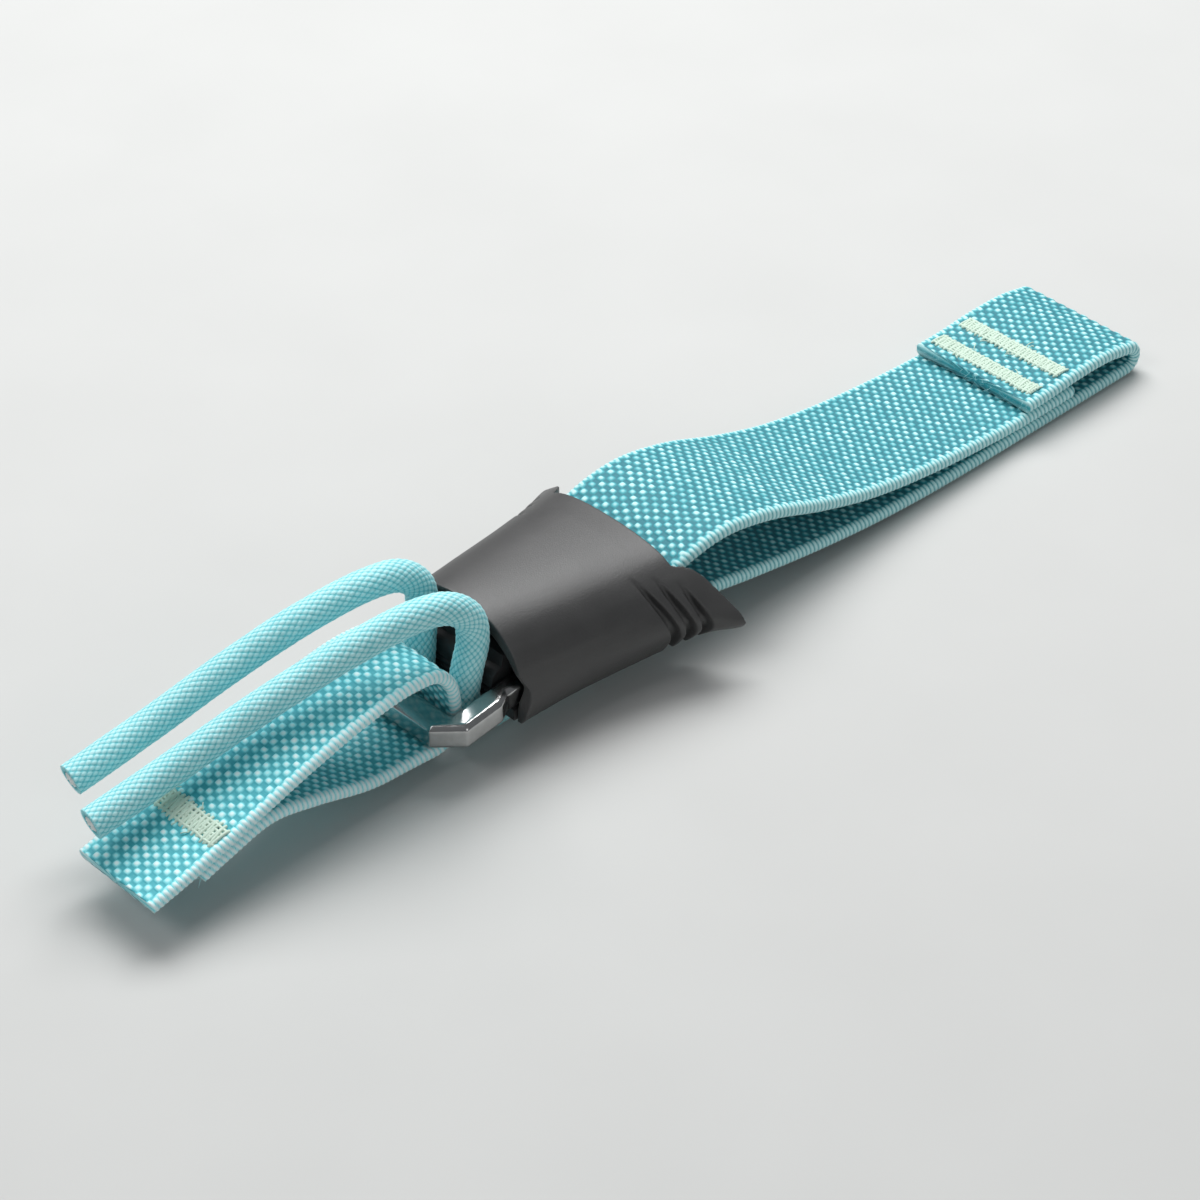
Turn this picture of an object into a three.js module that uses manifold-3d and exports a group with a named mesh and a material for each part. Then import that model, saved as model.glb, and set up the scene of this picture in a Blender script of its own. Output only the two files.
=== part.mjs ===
// Pull-release drawcord lock: a tapered plastic sleeve with flared finger grips, a spring-returned
// die-cast ring that clamps two 3 mm cords against the sleeve's nose, a 10 mm webbing pull tab on the
// ring and a 15 mm webbing anchor loop on a steel pin at the rear. Millimetres. +X runs to the rear
// (webbing anchor), -X to the cord mouth, +Y is the side named left, +Z is up, and the origin is on
// the underside of the sleeve at mid length.
import * as THREE from "three";
import { mergeVertices } from "three/addons/utils/BufferGeometryUtils.js";
import Module from "manifold-3d";

const wasm = await Module();
wasm.setup();

// ---- driving dimensions shared between pieces ----
const SIDES = [1, -1]; // sign of y: left, right
const FLOOR_T = 1.1; // lower shell floor
const PIN_X = 6.6; // anchor pin
const PIN_Z = 4.0;
const PIN_R = 1.2;
const PIN_LENGTH = 18.2;
const PIN_GAP = 0.05; // round the pin in its seats
const RING_IN = 5.2; // half width of the ring's window
const RING_OUT = 7.0; // half width over the ring's arms
const RING_T = 2.6;
const RING_Z = 1.3; // underside of the arms
const RING_FRONT_X = -20.6; // outer face of the front bar
const RING_BAR = 2.6; // length of the front bar's section
const RING_BEND_X = -12.2; // the loop slopes down in front of this
const RING_DROOP = 0.12; // slope of that loop
const NOTCH_X = [-1.3, 0.3]; // notch in each arm that takes the yoke's key
const NOTCH_DEPTH = 0.7;
const YOKE_X = -1.6; // front face of the yoke
const SPRING_Y = 2.8; // spring axis, each side
const SPRING_Z = 3.6;
const PEG_SIDES = 20;
// [x, y] of the lower shell's pegs and the sockets above them
const PEGS = [[2.85, 5.6], [2.85, -5.6], [-10.0, 0]];

// ---- solids ----
function solid(geometry) {
  const bare = (geometry.index ? geometry.toNonIndexed() : geometry).clone();
  for (const key of Object.keys(bare.attributes)) {
    if (key !== "position") bare.deleteAttribute(key);
  }
  const merged = mergeVertices(bare, 1e-4);
  return new wasm.Manifold(
    new wasm.Mesh({
      numProp: 3,
      vertProperties: new Float32Array(merged.attributes.position.array),
      triVerts: new Uint32Array(merged.index.array),
    }),
  );
}

function solidFromTriangles(coordinates) {
  const geometry = new THREE.BufferGeometry();
  geometry.setAttribute("position", new THREE.Float32BufferAttribute(coordinates, 3));
  return solid(geometry);
}

function geometryOf(manifold) {
  const mesh = manifold.getMesh();
  const geometry = new THREE.BufferGeometry();
  geometry.setAttribute("position", new THREE.Float32BufferAttribute(mesh.vertProperties, 3));
  geometry.setIndex(new THREE.Uint32BufferAttribute(mesh.triVerts, 1));
  geometry.computeVertexNormals();
  return geometry;
}

function box([x0, x1], [y0, y1], [z0, z1]) {
  const geometry = new THREE.BoxGeometry(x1 - x0, y1 - y0, z1 - z0);
  geometry.translate((x0 + x1) / 2, (y0 + y1) / 2, (z0 + z1) / 2);
  return solid(geometry);
}

// A box given for the left side, mirrored in y when side is -1.
function sideBox(side, xSpan, [y0, y1], zSpan) {
  return box(xSpan, side > 0 ? [y0, y1] : [-y1, -y0], zSpan);
}

// A cylinder along the named axis, centred on [x, y, z].
function cylinder(radius, length, axis, centre, sides = 24) {
  const geometry = new THREE.CylinderGeometry(radius, radius, length, sides);
  if (axis === "x") geometry.rotateZ(Math.PI / 2);
  if (axis === "z") geometry.rotateX(Math.PI / 2);
  geometry.translate(...centre);
  return solid(geometry);
}

const shapeOf = (points) => new THREE.Shape(points.map(([a, b]) => new THREE.Vector2(a, b)));

// Extrudes a plan outline [[x, y], ...] from z0 to z1, with an optional 45 degree chamfer.
function plate(outline, z0, z1, chamfer = 0) {
  const geometry = new THREE.ExtrudeGeometry(shapeOf(outline), {
    depth: z1 - z0 - 2 * chamfer,
    bevelEnabled: chamfer > 0,
    bevelThickness: chamfer,
    bevelSize: chamfer,
    bevelOffset: -chamfer,
    bevelSegments: 1,
    steps: 1,
  });
  geometry.translate(0, 0, z0 + chamfer);
  return solid(geometry);
}

// Extrudes a side outline [[x, z], ...] across y0..y1.
function sidePlate(outline, y0, y1) {
  const geometry = new THREE.ExtrudeGeometry(shapeOf(outline), {
    depth: y1 - y0,
    bevelEnabled: false,
    steps: 1,
  });
  geometry.rotateX(Math.PI / 2); // (x, y, z) -> (x, -z, y)
  geometry.translate(0, y1, 0);
  return solid(geometry);
}

// Sweeps a regular polygon along a curve.
function rod(curve, radius, sides, steps) {
  const section = [];
  for (let i = 0; i < sides; i++) {
    const angle = (2 * Math.PI * i) / sides;
    section.push([radius * Math.cos(angle), radius * Math.sin(angle)]);
  }
  return solid(
    new THREE.ExtrudeGeometry(shapeOf(section), {
      steps,
      bevelEnabled: false,
      extrudePath: curve,
    }),
  );
}

// ---- outlines and centrelines ----
// Closes a half outline given at +y with its mirror image.
function mirrored(half) {
  return [...half, ...half.map(([x, y]) => [x, -y]).reverse()];
}

// All steps + 1 points of an arc.
function arc([x, z], radius, start, sweep, steps) {
  const points = [];
  for (let i = 0; i <= steps; i++) {
    const angle = start + sweep * (i / steps);
    points.push([x + radius * Math.cos(angle), z + radius * Math.sin(angle)]);
  }
  return points;
}

function centripetal(points) {
  const vectors = points.map((point) => new THREE.Vector3(...point));
  return new THREE.CatmullRomCurve3(vectors, false, "centripetal");
}

// Evenly spaced points on a smooth curve through [[x, z], ...].
function smoothLine(points, spans) {
  const curve = centripetal(points.map(([x, z]) => [x, 0, z]));
  return curve.getSpacedPoints(spans).map((point) => [point.x, point.z]);
}

// A flat strip of webbing, centred on y = 0, along the centreline [[x, z], ...].
function strip(line, thickness, width) {
  const last = line.length - 1;
  const up = [];
  const down = [];
  line.forEach(([x, z], i) => {
    const before = line[Math.max(0, i - 1)];
    const after = line[Math.min(last, i + 1)];
    const run = after[0] - before[0];
    const rise = after[1] - before[1];
    const length = Math.hypot(run, rise);
    const shiftX = ((-rise / length) * thickness) / 2;
    const shiftZ = ((run / length) * thickness) / 2;
    up.push([x + shiftX, z + shiftZ]);
    down.push([x - shiftX, z - shiftZ]);
  });
  const right = -width / 2;
  const left = width / 2;
  const coordinates = [];
  const at = ([x, z], y) => [x, y, z];
  const quad = (a, b, c, d) => coordinates.push(...a, ...b, ...c, ...a, ...c, ...d);
  for (let i = 0; i < last; i++) {
    const j = i + 1;
    quad(at(up[i], right), at(up[j], right), at(up[j], left), at(up[i], left));
    quad(at(down[i], left), at(down[j], left), at(down[j], right), at(down[i], right));
    quad(at(down[i], right), at(down[j], right), at(up[j], right), at(up[i], right));
    quad(at(up[i], left), at(up[j], left), at(down[j], left), at(down[i], left));
  }
  quad(at(down[0], right), at(up[0], right), at(up[0], left), at(down[0], left));
  quad(at(down[last], left), at(up[last], left), at(up[last], right), at(down[last], right));
  return solidFromTriangles(coordinates);
}

// ---- lofting ----
function catmullRom(before, start, end, after, t) {
  return (
    0.5 *
    (2 * start +
      (-before + end) * t +
      (2 * before - 5 * start + 4 * end - after) * t ** 2 +
      (-before + 3 * start - 3 * end + after) * t ** 3)
  );
}

// Half profile at x, interpolated between the stations and held beyond the last.
function profileAt(stations, x) {
  const last = stations.length - 1;
  let i = 0;
  while (i < last - 1 && x > stations[i + 1].x) i++;
  const span = stations[i + 1].x - stations[i].x;
  const t = THREE.MathUtils.clamp((x - stations[i].x) / span, 0, 1);
  const [before, start, end, after] = [i - 1, i, i + 1, i + 2].map(
    (k) => stations[THREE.MathUtils.clamp(k, 0, last)].half,
  );
  return start.map((point, j) =>
    point.map((value, c) => catmullRom(before[j][c], value, end[j][c], after[j][c], t)),
  );
}

// Doubles the number of spans in a half profile, smoothly.
function refine(half) {
  const last = half.length - 1;
  const fine = [];
  for (let j = 0; j < last; j++) {
    const before = half[Math.max(0, j - 1)];
    const start = half[j];
    const end = half[j + 1];
    const after = half[Math.min(last, j + 2)];
    // across the top centre, y continues as its mirror image
    const beforeY = j === 0 ? -end[0] : before[0];
    for (const t of [0, 0.5]) {
      fine.push([
        catmullRom(beforeY, start[0], end[0], after[0], t),
        catmullRom(before[1], start[1], end[1], after[1], t),
      ]);
    }
  }
  fine.push(half[last]);
  return fine;
}

// Lofts closed sections: each is a half profile from the top centre to the bottom edge, mirrored in y.
function loft(stations, x0, x1, steps, change = (half) => half) {
  const rings = [];
  for (let i = 0; i <= steps; i++) {
    const x = x0 + ((x1 - x0) * i) / steps;
    const half = change(refine(profileAt(stations, x)));
    const left = half.map(([y, z]) => [x, y, z]).reverse();
    const right = half.slice(1).map(([y, z]) => [x, -y, z]);
    rings.push([...left, ...right]);
  }
  const coordinates = [];
  const triangle = (a, b, c) => coordinates.push(...a, ...b, ...c);
  const count = rings[0].length;
  for (let i = 0; i < steps; i++) {
    for (let j = 0; j < count; j++) {
      const next = (j + 1) % count;
      triangle(rings[i][j], rings[i][next], rings[i + 1][next]);
      triangle(rings[i][j], rings[i + 1][next], rings[i + 1][j]);
    }
  }
  for (const [ring, isFront] of [[rings[0], true], [rings[steps], false]]) {
    const flat = ring.map(([, y, z]) => new THREE.Vector2(y, z));
    for (const face of THREE.ShapeUtils.triangulateShape(flat, [])) {
      const [a, b, c] = face.map((k) => ring[k]);
      const facesRear = (b[1] - a[1]) * (c[2] - a[2]) - (b[2] - a[2]) * (c[1] - a[1]) > 0;
      if (facesRear === isFront) triangle(a, c, b);
      else triangle(a, b, c);
    }
  }
  return solidFromTriangles(coordinates);
}

// ---- upper shell ----
const MOUTH_X = -12; // front rim of the sleeve
const TAIL_X = 10; // rear end of the skin, before the rear edge is trimmed
const ROOF_REAR_X = 6.5; // rear edge of the roof
const SKIN_STEPS = 24;
const CAVITY_STEPS = 16;

// Outer skin stations: half profile [y, z] from the top centre down to the bottom edge.
const OUTER = [
  { x: -12, half: [[0, 9.9], [2.7, 9.6], [4.9, 8.7], [6.4, 7.4], [7.2, 6.1], [7.6, 5.0],
    [7.9, 4.0], [8.15, 3.0], [8.25, 2.0], [8.1, 0.8], [7.7, 0]] },
  { x: -6.4, half: [[0, 9.65], [2.95, 9.4], [5.35, 8.6], [7.05, 7.25], [7.9, 5.9], [8.25, 4.9],
    [8.5, 3.9], [8.6, 2.9], [8.55, 1.9], [8.3, 0.8], [7.85, 0]] },
  { x: -0.8, half: [[0, 9.4], [3.2, 9.2], [5.8, 8.45], [7.6, 7.2], [8.6, 5.9], [9.1, 4.8],
    [9.4, 3.8], [9.5, 2.8], [9.35, 1.9], [8.95, 0.8], [8.4, 0]] },
  { x: 3.8, half: [[0, 9.2], [3.5, 9.0], [6.2, 8.35], [8.1, 7.2], [9.25, 6.0], [10.0, 5.0],
    [10.45, 4.0], [10.55, 3.1], [10.3, 2.1], [9.7, 1.0], [9.0, 0]] },
  { x: 7.4, half: [[0, 9.0], [3.7, 8.85], [6.5, 8.3], [8.45, 7.2], [9.9, 6.1], [11.0, 5.0],
    [11.75, 4.1], [11.85, 3.2], [11.4, 2.2], [10.5, 1.1], [9.6, 0]] },
  { x: 10, half: [[0, 8.9], [3.8, 8.75], [6.6, 8.2], [8.6, 7.1], [10.4, 5.9], [12.1, 4.8],
    [13.3, 3.8], [13.45, 3.0], [12.6, 2.1], [11.3, 1.1], [10.0, 0.1]] },
];
// Cavity stations, in the same form; they run past the skin at both ends and below.
const CAVITY = [
  { x: -12.6, half: [[0, 8.4], [2.3, 8.1], [4.2, 7.4], [5.5, 6.4], [6.3, 5.5], [6.85, 4.7],
    [7.15, 4.1], [7.15, 2.0], [7.15, -1]] },
  { x: -6.4, half: [[0, 8.3], [2.6, 8.05], [4.8, 7.45], [6.2, 6.4], [6.95, 5.35], [7.3, 4.6],
    [7.4, 4.0], [7.4, 2.0], [7.4, -1]] },
  { x: -0.8, half: [[0, 8.1], [2.9, 7.95], [5.4, 7.4], [6.9, 6.45], [7.6, 5.4], [7.85, 4.6],
    [7.9, 4.0], [7.9, 2.0], [7.9, -1]] },
  { x: 3.8, half: [[0, 7.9], [3.6, 7.85], [6.3, 7.5], [7.5, 6.9], [8.0, 5.9], [8.05, 4.8],
    [8.05, 4.0], [8.05, 2.0], [8.05, -1]] },
  { x: 11, half: [[0, 7.8], [3.6, 7.75], [6.4, 7.5], [7.6, 6.9], [8.05, 6.0], [8.05, 4.8],
    [8.05, 4.0], [8.05, 2.0], [8.05, -1]] },
];
// Left half of the cut behind the rear edge, [x, y]: straight across the roof, round the shoulder,
// then back along the wing to its tip.
const REAR_CUT = [
  [ROOF_REAR_X, -0.3], [12, -0.3], [12, 15], [10.3, 15], [9.7, 12.6], [9.15, 10.9],
  [8.75, 9.6], [8.15, 8.65], [7.5, 8.15], [6.95, 7.9], [ROOF_REAR_X, 7.65],
];

// Finger grooves, three each side: x at GROOVE_Z, y where the groove starts on the shoulder, and
// the lean that carries its foot to the rear.
const GROOVES = [
  { x: 3.2, startY: 6.6, lean: -0.3 },
  { x: 5.0, startY: 7.7, lean: -0.19 },
  { x: 6.6, startY: 8.6, lean: -0.15 },
];
const GROOVE_W = 0.75;
const GROOVE_DEPTH = 0.6;
const GROOVE_TAPER = 2.2; // y over which the groove reaches full depth
const GROOVE_Z = 5.2;
const GROOVE_INNER_Y = 4.6; // inner end of the cutting slab
const SLAB_W = 10;
const SLAB_H = 14;
const CORE_RISE = 0.25; // the core stands this proud of the skin where nothing is cut

// Sinks a half profile to the groove's floor outboard of startY.
function grooveFloor(startY) {
  return (half) => {
    const last = half.length - 1;
    const floor = half.map(([y, z], j) => {
      const before = half[Math.max(0, j - 1)];
      const after = half[Math.min(last, j + 1)];
      const run = after[0] - before[0];
      const rise = after[1] - before[1];
      const length = Math.hypot(run, rise);
      const onShoulder = THREE.MathUtils.smoothstep(y, startY, startY + GROOVE_TAPER);
      const share = j > half.length / 2 ? 1 : onShoulder;
      const depth = GROOVE_DEPTH * share - CORE_RISE * (1 - share);
      return [y + (rise / length) * depth, z - (run / length) * depth];
    });
    floor[0][0] = 0;
    floor[last][1] = -1; // the core keeps the foot of the wall whole
    return floor;
  };
}

function groovedSkin() {
  let skin = loft(OUTER, MOUTH_X, TAIL_X, SKIN_STEPS);
  for (const groove of GROOVES) {
    const core = loft(OUTER, MOUTH_X, TAIL_X + 0.2, SKIN_STEPS, grooveFloor(groove.startY));
    for (const side of SIDES) {
      const slab = new THREE.BoxGeometry(GROOVE_W, SLAB_W, SLAB_H);
      slab.rotateY(groove.lean);
      slab.translate(groove.x, side * (SLAB_W / 2 + GROOVE_INNER_Y), GROOVE_Z);
      skin = skin.subtract(solid(slab).subtract(core));
    }
  }
  return skin;
}

const SLOT_Y = [7.9, 9.3]; // U-slot that takes the anchor pin from below
const SOCKET_R = 1.55;
const SOCKET_Z = [5.9, 11.6]; // trimmed to the skin at the top
const SOCKET_BORE = { radius: 0.95, length: 3, z: 5.8 };

function upperShell() {
  const skin = groovedSkin();
  let shell = skin.subtract(loft(CAVITY, -12.6, 11, CAVITY_STEPS));
  const slotR = PIN_R + PIN_GAP;
  const [slotIn, slotOut] = SLOT_Y;
  for (const side of SIDES) {
    shell = shell.subtract(plate(REAR_CUT.map(([x, y]) => [x, side * y]), -1, 12));
    shell = shell.subtract(sideBox(side, [PIN_X - slotR, PIN_X + slotR], SLOT_Y, [-1, PIN_Z]));
    const slotCentre = [PIN_X, (side * (slotIn + slotOut)) / 2, PIN_Z];
    shell = shell.subtract(cylinder(slotR, slotOut - slotIn, "y", slotCentre));
  }
  // sockets under the roof for the lower shell's pegs
  const [low, high] = SOCKET_Z;
  const { radius, length, z } = SOCKET_BORE;
  for (const [x, y] of PEGS) {
    const socket = cylinder(SOCKET_R, high - low, "z", [x, y, (low + high) / 2], PEG_SIDES);
    shell = shell.add(socket.intersect(skin));
    shell = shell.subtract(cylinder(radius, length, "z", [x, y, z], PEG_SIDES));
  }
  return shell;
}

// ---- lower shell: floor, nose, spring seats, pegs and pin lugs ----
// Left edge of the floor, [x, y], rear to front.
const FLOOR_EDGE = [[4.6, 7.88], [3.8, 7.88], [-0.8, 7.7], [-6.4, 7.2], [-12.2, 6.95]];
const NOSE_X = -13.0; // clamping face
const NOSE_REAR_X = -10.7;
const NOSE_TOP_Z = 5.9;
const NOSE_HALF_W = 4.95;
const NOSE_ROUND_R = 1.2;
const NOSE_ROUND_Z = 3.4; // centre of the rounded top edge
const RIB_GROOVES_Z = [2.7, 2.0, 1.3]; // V grooves that leave the clamping ribs
const RIB_GROOVE_DEPTH = 0.3;
const RIB_GROOVE_HALF_W = 0.2;
const SPRING_SEAT = { radius: 1.95, depth: 0.8, x: -11.0 };
const PEG = { radius: 0.8, length: 6.7, z: 3.65 };
const LUG_HALF_L = 1.05; // half length in x
const LUG_Y = [7.75, 9.15];

// Side outline [x, z] of the nose that stands between the ring's arms.
function noseOutline() {
  const roundCentre = [NOSE_X + NOSE_ROUND_R, NOSE_ROUND_Z];
  return [
    [NOSE_REAR_X, 0],
    [NOSE_REAR_X, NOSE_TOP_Z],
    [-11.6, NOSE_TOP_Z],
    ...arc(roundCentre, NOSE_ROUND_R, Math.PI / 2, Math.PI / 2, 5),
    ...RIB_GROOVES_Z.flatMap((z) => [
      [NOSE_X, z + RIB_GROOVE_HALF_W],
      [NOSE_X + RIB_GROOVE_DEPTH, z],
      [NOSE_X, z - RIB_GROOVE_HALF_W],
    ]),
    [NOSE_X, 0.9],
    [NOSE_X + 0.9, 0],
  ];
}

function lowerShell() {
  let shell = plate(mirrored(FLOOR_EDGE), 0, FLOOR_T);
  shell = shell.add(sidePlate(noseOutline(), -NOSE_HALF_W, NOSE_HALF_W));
  for (const side of SIDES) {
    const centre = [SPRING_SEAT.x, side * SPRING_Y, SPRING_Z];
    shell = shell.subtract(cylinder(SPRING_SEAT.radius, SPRING_SEAT.depth, "x", centre));
  }
  for (const [x, y] of PEGS) {
    shell = shell.add(cylinder(PEG.radius, PEG.length, "z", [x, y, PEG.z], PEG_SIDES));
  }
  const lugX = [PIN_X - LUG_HALF_L, PIN_X + LUG_HALF_L];
  for (const side of SIDES) {
    // strip beside the webbing gap, then the lug that closes the U-slot under the pin
    shell = shell.add(sideBox(side, [4.4, lugX[1]], [7.72, 7.88], [0, FLOOR_T]));
    shell = shell.add(sideBox(side, lugX, LUG_Y, [0.05, PIN_Z - PIN_R - PIN_GAP]));
  }
  // shallow channels over the cords leave a flat rest rib along the middle of the underside
  for (const side of SIDES) {
    shell = shell.subtract(sideBox(side, [-14, 8], [1.15, 4.4], [-1, 0.12]));
  }
  return shell;
}

// ---- anchor pin ----
const anchorPin = () => cylinder(PIN_R, PIN_LENGTH, "y", [PIN_X, 0, PIN_Z], 28);

// ---- pull ring: U-shaped die casting, closed loop in front, two arms into the sleeve ----
const ARM_END_X = 1.2;
const ARM_CORNER = 0.4; // cut corner at the end of each arm
const RING_BULGE = 0.65; // extra half width of the loop
const RING_CHAMFER = 0.42;
// Left half of the outline, [x, y]: back along the window, round the arm's end, forward outside.
const RING_HALF = [
  [RING_FRONT_X + RING_BAR, RING_IN],
  [NOTCH_X[0], RING_IN],
  [NOTCH_X[0], RING_IN + NOTCH_DEPTH],
  [NOTCH_X[1], RING_IN + NOTCH_DEPTH],
  [NOTCH_X[1], RING_IN],
  [ARM_END_X, RING_IN],
  [ARM_END_X, RING_OUT - ARM_CORNER],
  [ARM_END_X - ARM_CORNER, RING_OUT],
  [-12.9, RING_OUT],
  [-14.2, RING_OUT + RING_BULGE],
  [-18.3, RING_OUT + RING_BULGE],
  [RING_FRONT_X, RING_OUT - 1.9],
];

// Shears everything in front of the bend downwards.
function droop(manifold) {
  const geometry = geometryOf(manifold);
  const position = geometry.attributes.position;
  for (let i = 0; i < position.count; i++) {
    const x = position.getX(i);
    if (x < RING_BEND_X) {
      position.setZ(i, position.getZ(i) + RING_DROOP * (x - RING_BEND_X));
    }
  }
  return solid(geometry);
}

function pullRing() {
  const flat = plate(mirrored(RING_HALF), RING_Z, RING_Z + RING_T, RING_CHAMFER);
  const loop = flat.intersect(box([-30, RING_BEND_X], [-20, 20], [-5, 10]));
  const arms = flat.intersect(box([RING_BEND_X, 30], [-20, 20], [-5, 10]));
  return droop(loop).add(arms);
}

// ---- yoke: joins the arms and carries the springs ----
const YOKE_GAP = 0.15; // to the floor and round the keys in the arms' notches
const YOKE_SIDE_GAP = 0.12; // to each arm
const KEY_Z_INSET = 0.1; // from the arm's top and bottom faces
const POST = { radius: 1.0, length: 4.2, x: YOKE_X - 1.9 };

function springYoke() {
  const halfW = RING_IN - YOKE_SIDE_GAP;
  const keyHalfW = RING_IN + NOTCH_DEPTH - YOKE_GAP;
  let yoke = box([YOKE_X, 1.5], [-halfW, halfW], [FLOOR_T + YOKE_GAP, 5.9]);
  const keys = box(
    [NOTCH_X[0] + YOKE_GAP, NOTCH_X[1] - YOKE_GAP],
    [-keyHalfW, keyHalfW],
    [RING_Z + KEY_Z_INSET, RING_Z + RING_T - KEY_Z_INSET],
  );
  yoke = yoke.add(keys);
  yoke = yoke.subtract(box([-3, 3], [-0.6, 0.6], [4.6, 7])); // groove along the middle of the top
  for (const side of SIDES) {
    const centre = [POST.x, side * SPRING_Y, SPRING_Z];
    yoke = yoke.add(cylinder(POST.radius, POST.length, "x", centre, 20));
  }
  return yoke;
}

// ---- return springs ----
const SPRING_R = 1.7; // outside radius
const WIRE_R = 0.23;
const SPRING_X = [-11.1, YOKE_X - 0.28]; // ends of the wire's centreline
const SPRING_TURNS = 6.5;
const PITCH_EASE = 0.45; // share by which the pitch closes up at both ends and at mid length

class SpringCurve extends THREE.Curve {
  constructor(side) {
    super();
    this.side = side; // sets the place and the hand of the coil
  }
  getPoint(t, target = new THREE.Vector3()) {
    const angle = 2 * Math.PI * SPRING_TURNS * t * this.side;
    const along = t - (PITCH_EASE * Math.sin(4 * Math.PI * t)) / (4 * Math.PI);
    const coilR = SPRING_R - WIRE_R;
    return target.set(
      SPRING_X[0] + (SPRING_X[1] - SPRING_X[0]) * along,
      this.side * SPRING_Y + coilR * Math.cos(angle),
      SPRING_Z + coilR * Math.sin(angle),
    );
  }
}

const returnSpring = (side) => rod(new SpringCurve(side), WIRE_R, 6, 66);

// ---- cords: from under the sleeve, up through the ring in front of the nose, over and forward ----
const CORD_R = 1.5;
const CORE_R = 0.8; // white core inside the braided sheath
const CORE_GAP = 0.08;
const CORD_X = -14.62; // cord centre where it is clamped
const CORD_Y = 2.95; // cord offset from the middle plane
const CORD_UNDER_Z = -CORD_R - 0.15; // cord centre under the floor
const CORD_STEPS = 44;
// Stations [x, shift towards +y, z], shared by both cords and then each tail on its own.
const CORD_STATIONS = [
  [5.2, 0, CORD_UNDER_Z],
  [1, 0, CORD_UNDER_Z],
  [-4, 0, CORD_UNDER_Z],
  [-9.6, 0, CORD_UNDER_Z],
  [-12.0, 0, CORD_UNDER_Z + 0.02],
  [-13.75, 0, -0.9],
  [-14.55, 0, 0.75],
  [CORD_X, 0, 2.6],
  [CORD_X + 0.2, 0, 5.2],
  [CORD_X + 0.75, 0, 7.8],
  [CORD_X + 0.35, 0, 10.4],
  [CORD_X - 1.6, 0.1, 12.5],
  [CORD_X - 4.9, 0.5, 13.35],
];
const LEFT_TAIL = [[-25.5, 1.9, 12.3], [-32.5, 3.6, 9.9], [-40, 5.0, 7.2], [-48.5, 6.0, 5.0]];
const RIGHT_TAIL = [[-26, 1.9, 12.0], [-34, 4.0, 9.3], [-42, 5.6, 6.6], [-50.5, 6.6, 4.6]];

function cordPath(side, tail) {
  const stations = [...CORD_STATIONS, ...tail];
  return centripetal(stations.map(([x, shift, z]) => [x, side * CORD_Y + shift, z]));
}

function cordSheath(path) {
  const bore = rod(path, CORE_R + CORE_GAP, 8, CORD_STEPS);
  return rod(path, CORD_R, 12, CORD_STEPS).subtract(bore);
}

const cordCore = (path) => rod(path, CORE_R, 8, CORD_STEPS);

// ---- bar tacks: bands of thread sunk in the webbing they hold ----
const TACK_GAP = 0.04;
const WEB_TACK = { length: 1.7, width: 12.6, thickness: 0.5 };
// just short of the pull tab's cut end
const TAB_TACK = { x: -43.2, z: 3.42, tilt: -0.36, length: 2.2, width: 8.4, thickness: 0.5 };
// two rows through the root of the finger loop
const WEB_TACK_FRONT = { x: 58.6, z: 0.9, tilt: 0, ...WEB_TACK };
const WEB_TACK_REAR = { x: 62.6, z: 1.1, tilt: -0.05, ...WEB_TACK };

function barTack({ x, z, tilt, length, width, thickness }, gap = 0) {
  const band = new THREE.BoxGeometry(length + 2 * gap, width + 2 * gap, thickness + 2 * gap);
  band.rotateY(tilt);
  band.translate(x, 0, z);
  return solid(band);
}

// ---- pull tab: folded strap round the ring's front bar, cut end under the bar tack ----
const TAB_W = 10;
const TAB_T = 1.15;
const TAB_R = 1.75 + TAB_T / 2; // centreline radius round the bar
const BAR_X = RING_FRONT_X + RING_BAR / 2; // centre of the front bar
const BAR_Z = RING_Z + RING_T / 2 + RING_DROOP * (BAR_X - RING_BEND_X);

function pullTab() {
  const upperLayer = smoothLine(
    [
      [-51, 0.9], [-46, 2.1], [-40, 3.9], [-33, 6.0], [-27, 7.4], [-22, 7.9],
      [BAR_X + 0.5, 7.3],
      [BAR_X + TAB_R - 0.45, 5.6],
      [BAR_X + TAB_R, BAR_Z + 1.3],
      [BAR_X + TAB_R, BAR_Z],
    ],
    34,
  );
  // a little over a quarter turn, down behind the bar and under it
  const wrap = arc([BAR_X, BAR_Z], TAB_R, 0, -(Math.PI / 2) * 1.08, 8).slice(1);
  const lowerLayer = smoothLine(
    [
      wrap[wrap.length - 1],
      [BAR_X - 3.2, BAR_Z - TAB_R + 0.25],
      [-27, 0.1], [-33, 1.9], [-38, 2.95], [-43, 1.8], [-45.6, 1.0],
    ],
    16,
  ).slice(1);
  const tab = strip([...upperLayer, ...wrap, ...lowerLayer], TAB_T, TAB_W);
  return tab.subtract(barTack(TAB_TACK, TACK_GAP));
}

// ---- anchor loop: round the pin, two strands back to the bar tacks and a finger loop ----
const WEB_W = 15;
const WEB_T = 1.3;
const WEB_R = PIN_R + 0.08 + WEB_T / 2; // centreline radius round the pin
const FOLD_X = 72.2; // centre of the finger loop's rear fold
const FOLD_TOP_Z = -0.05;
const FOLD_LOW_Z = -2.5;

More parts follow.
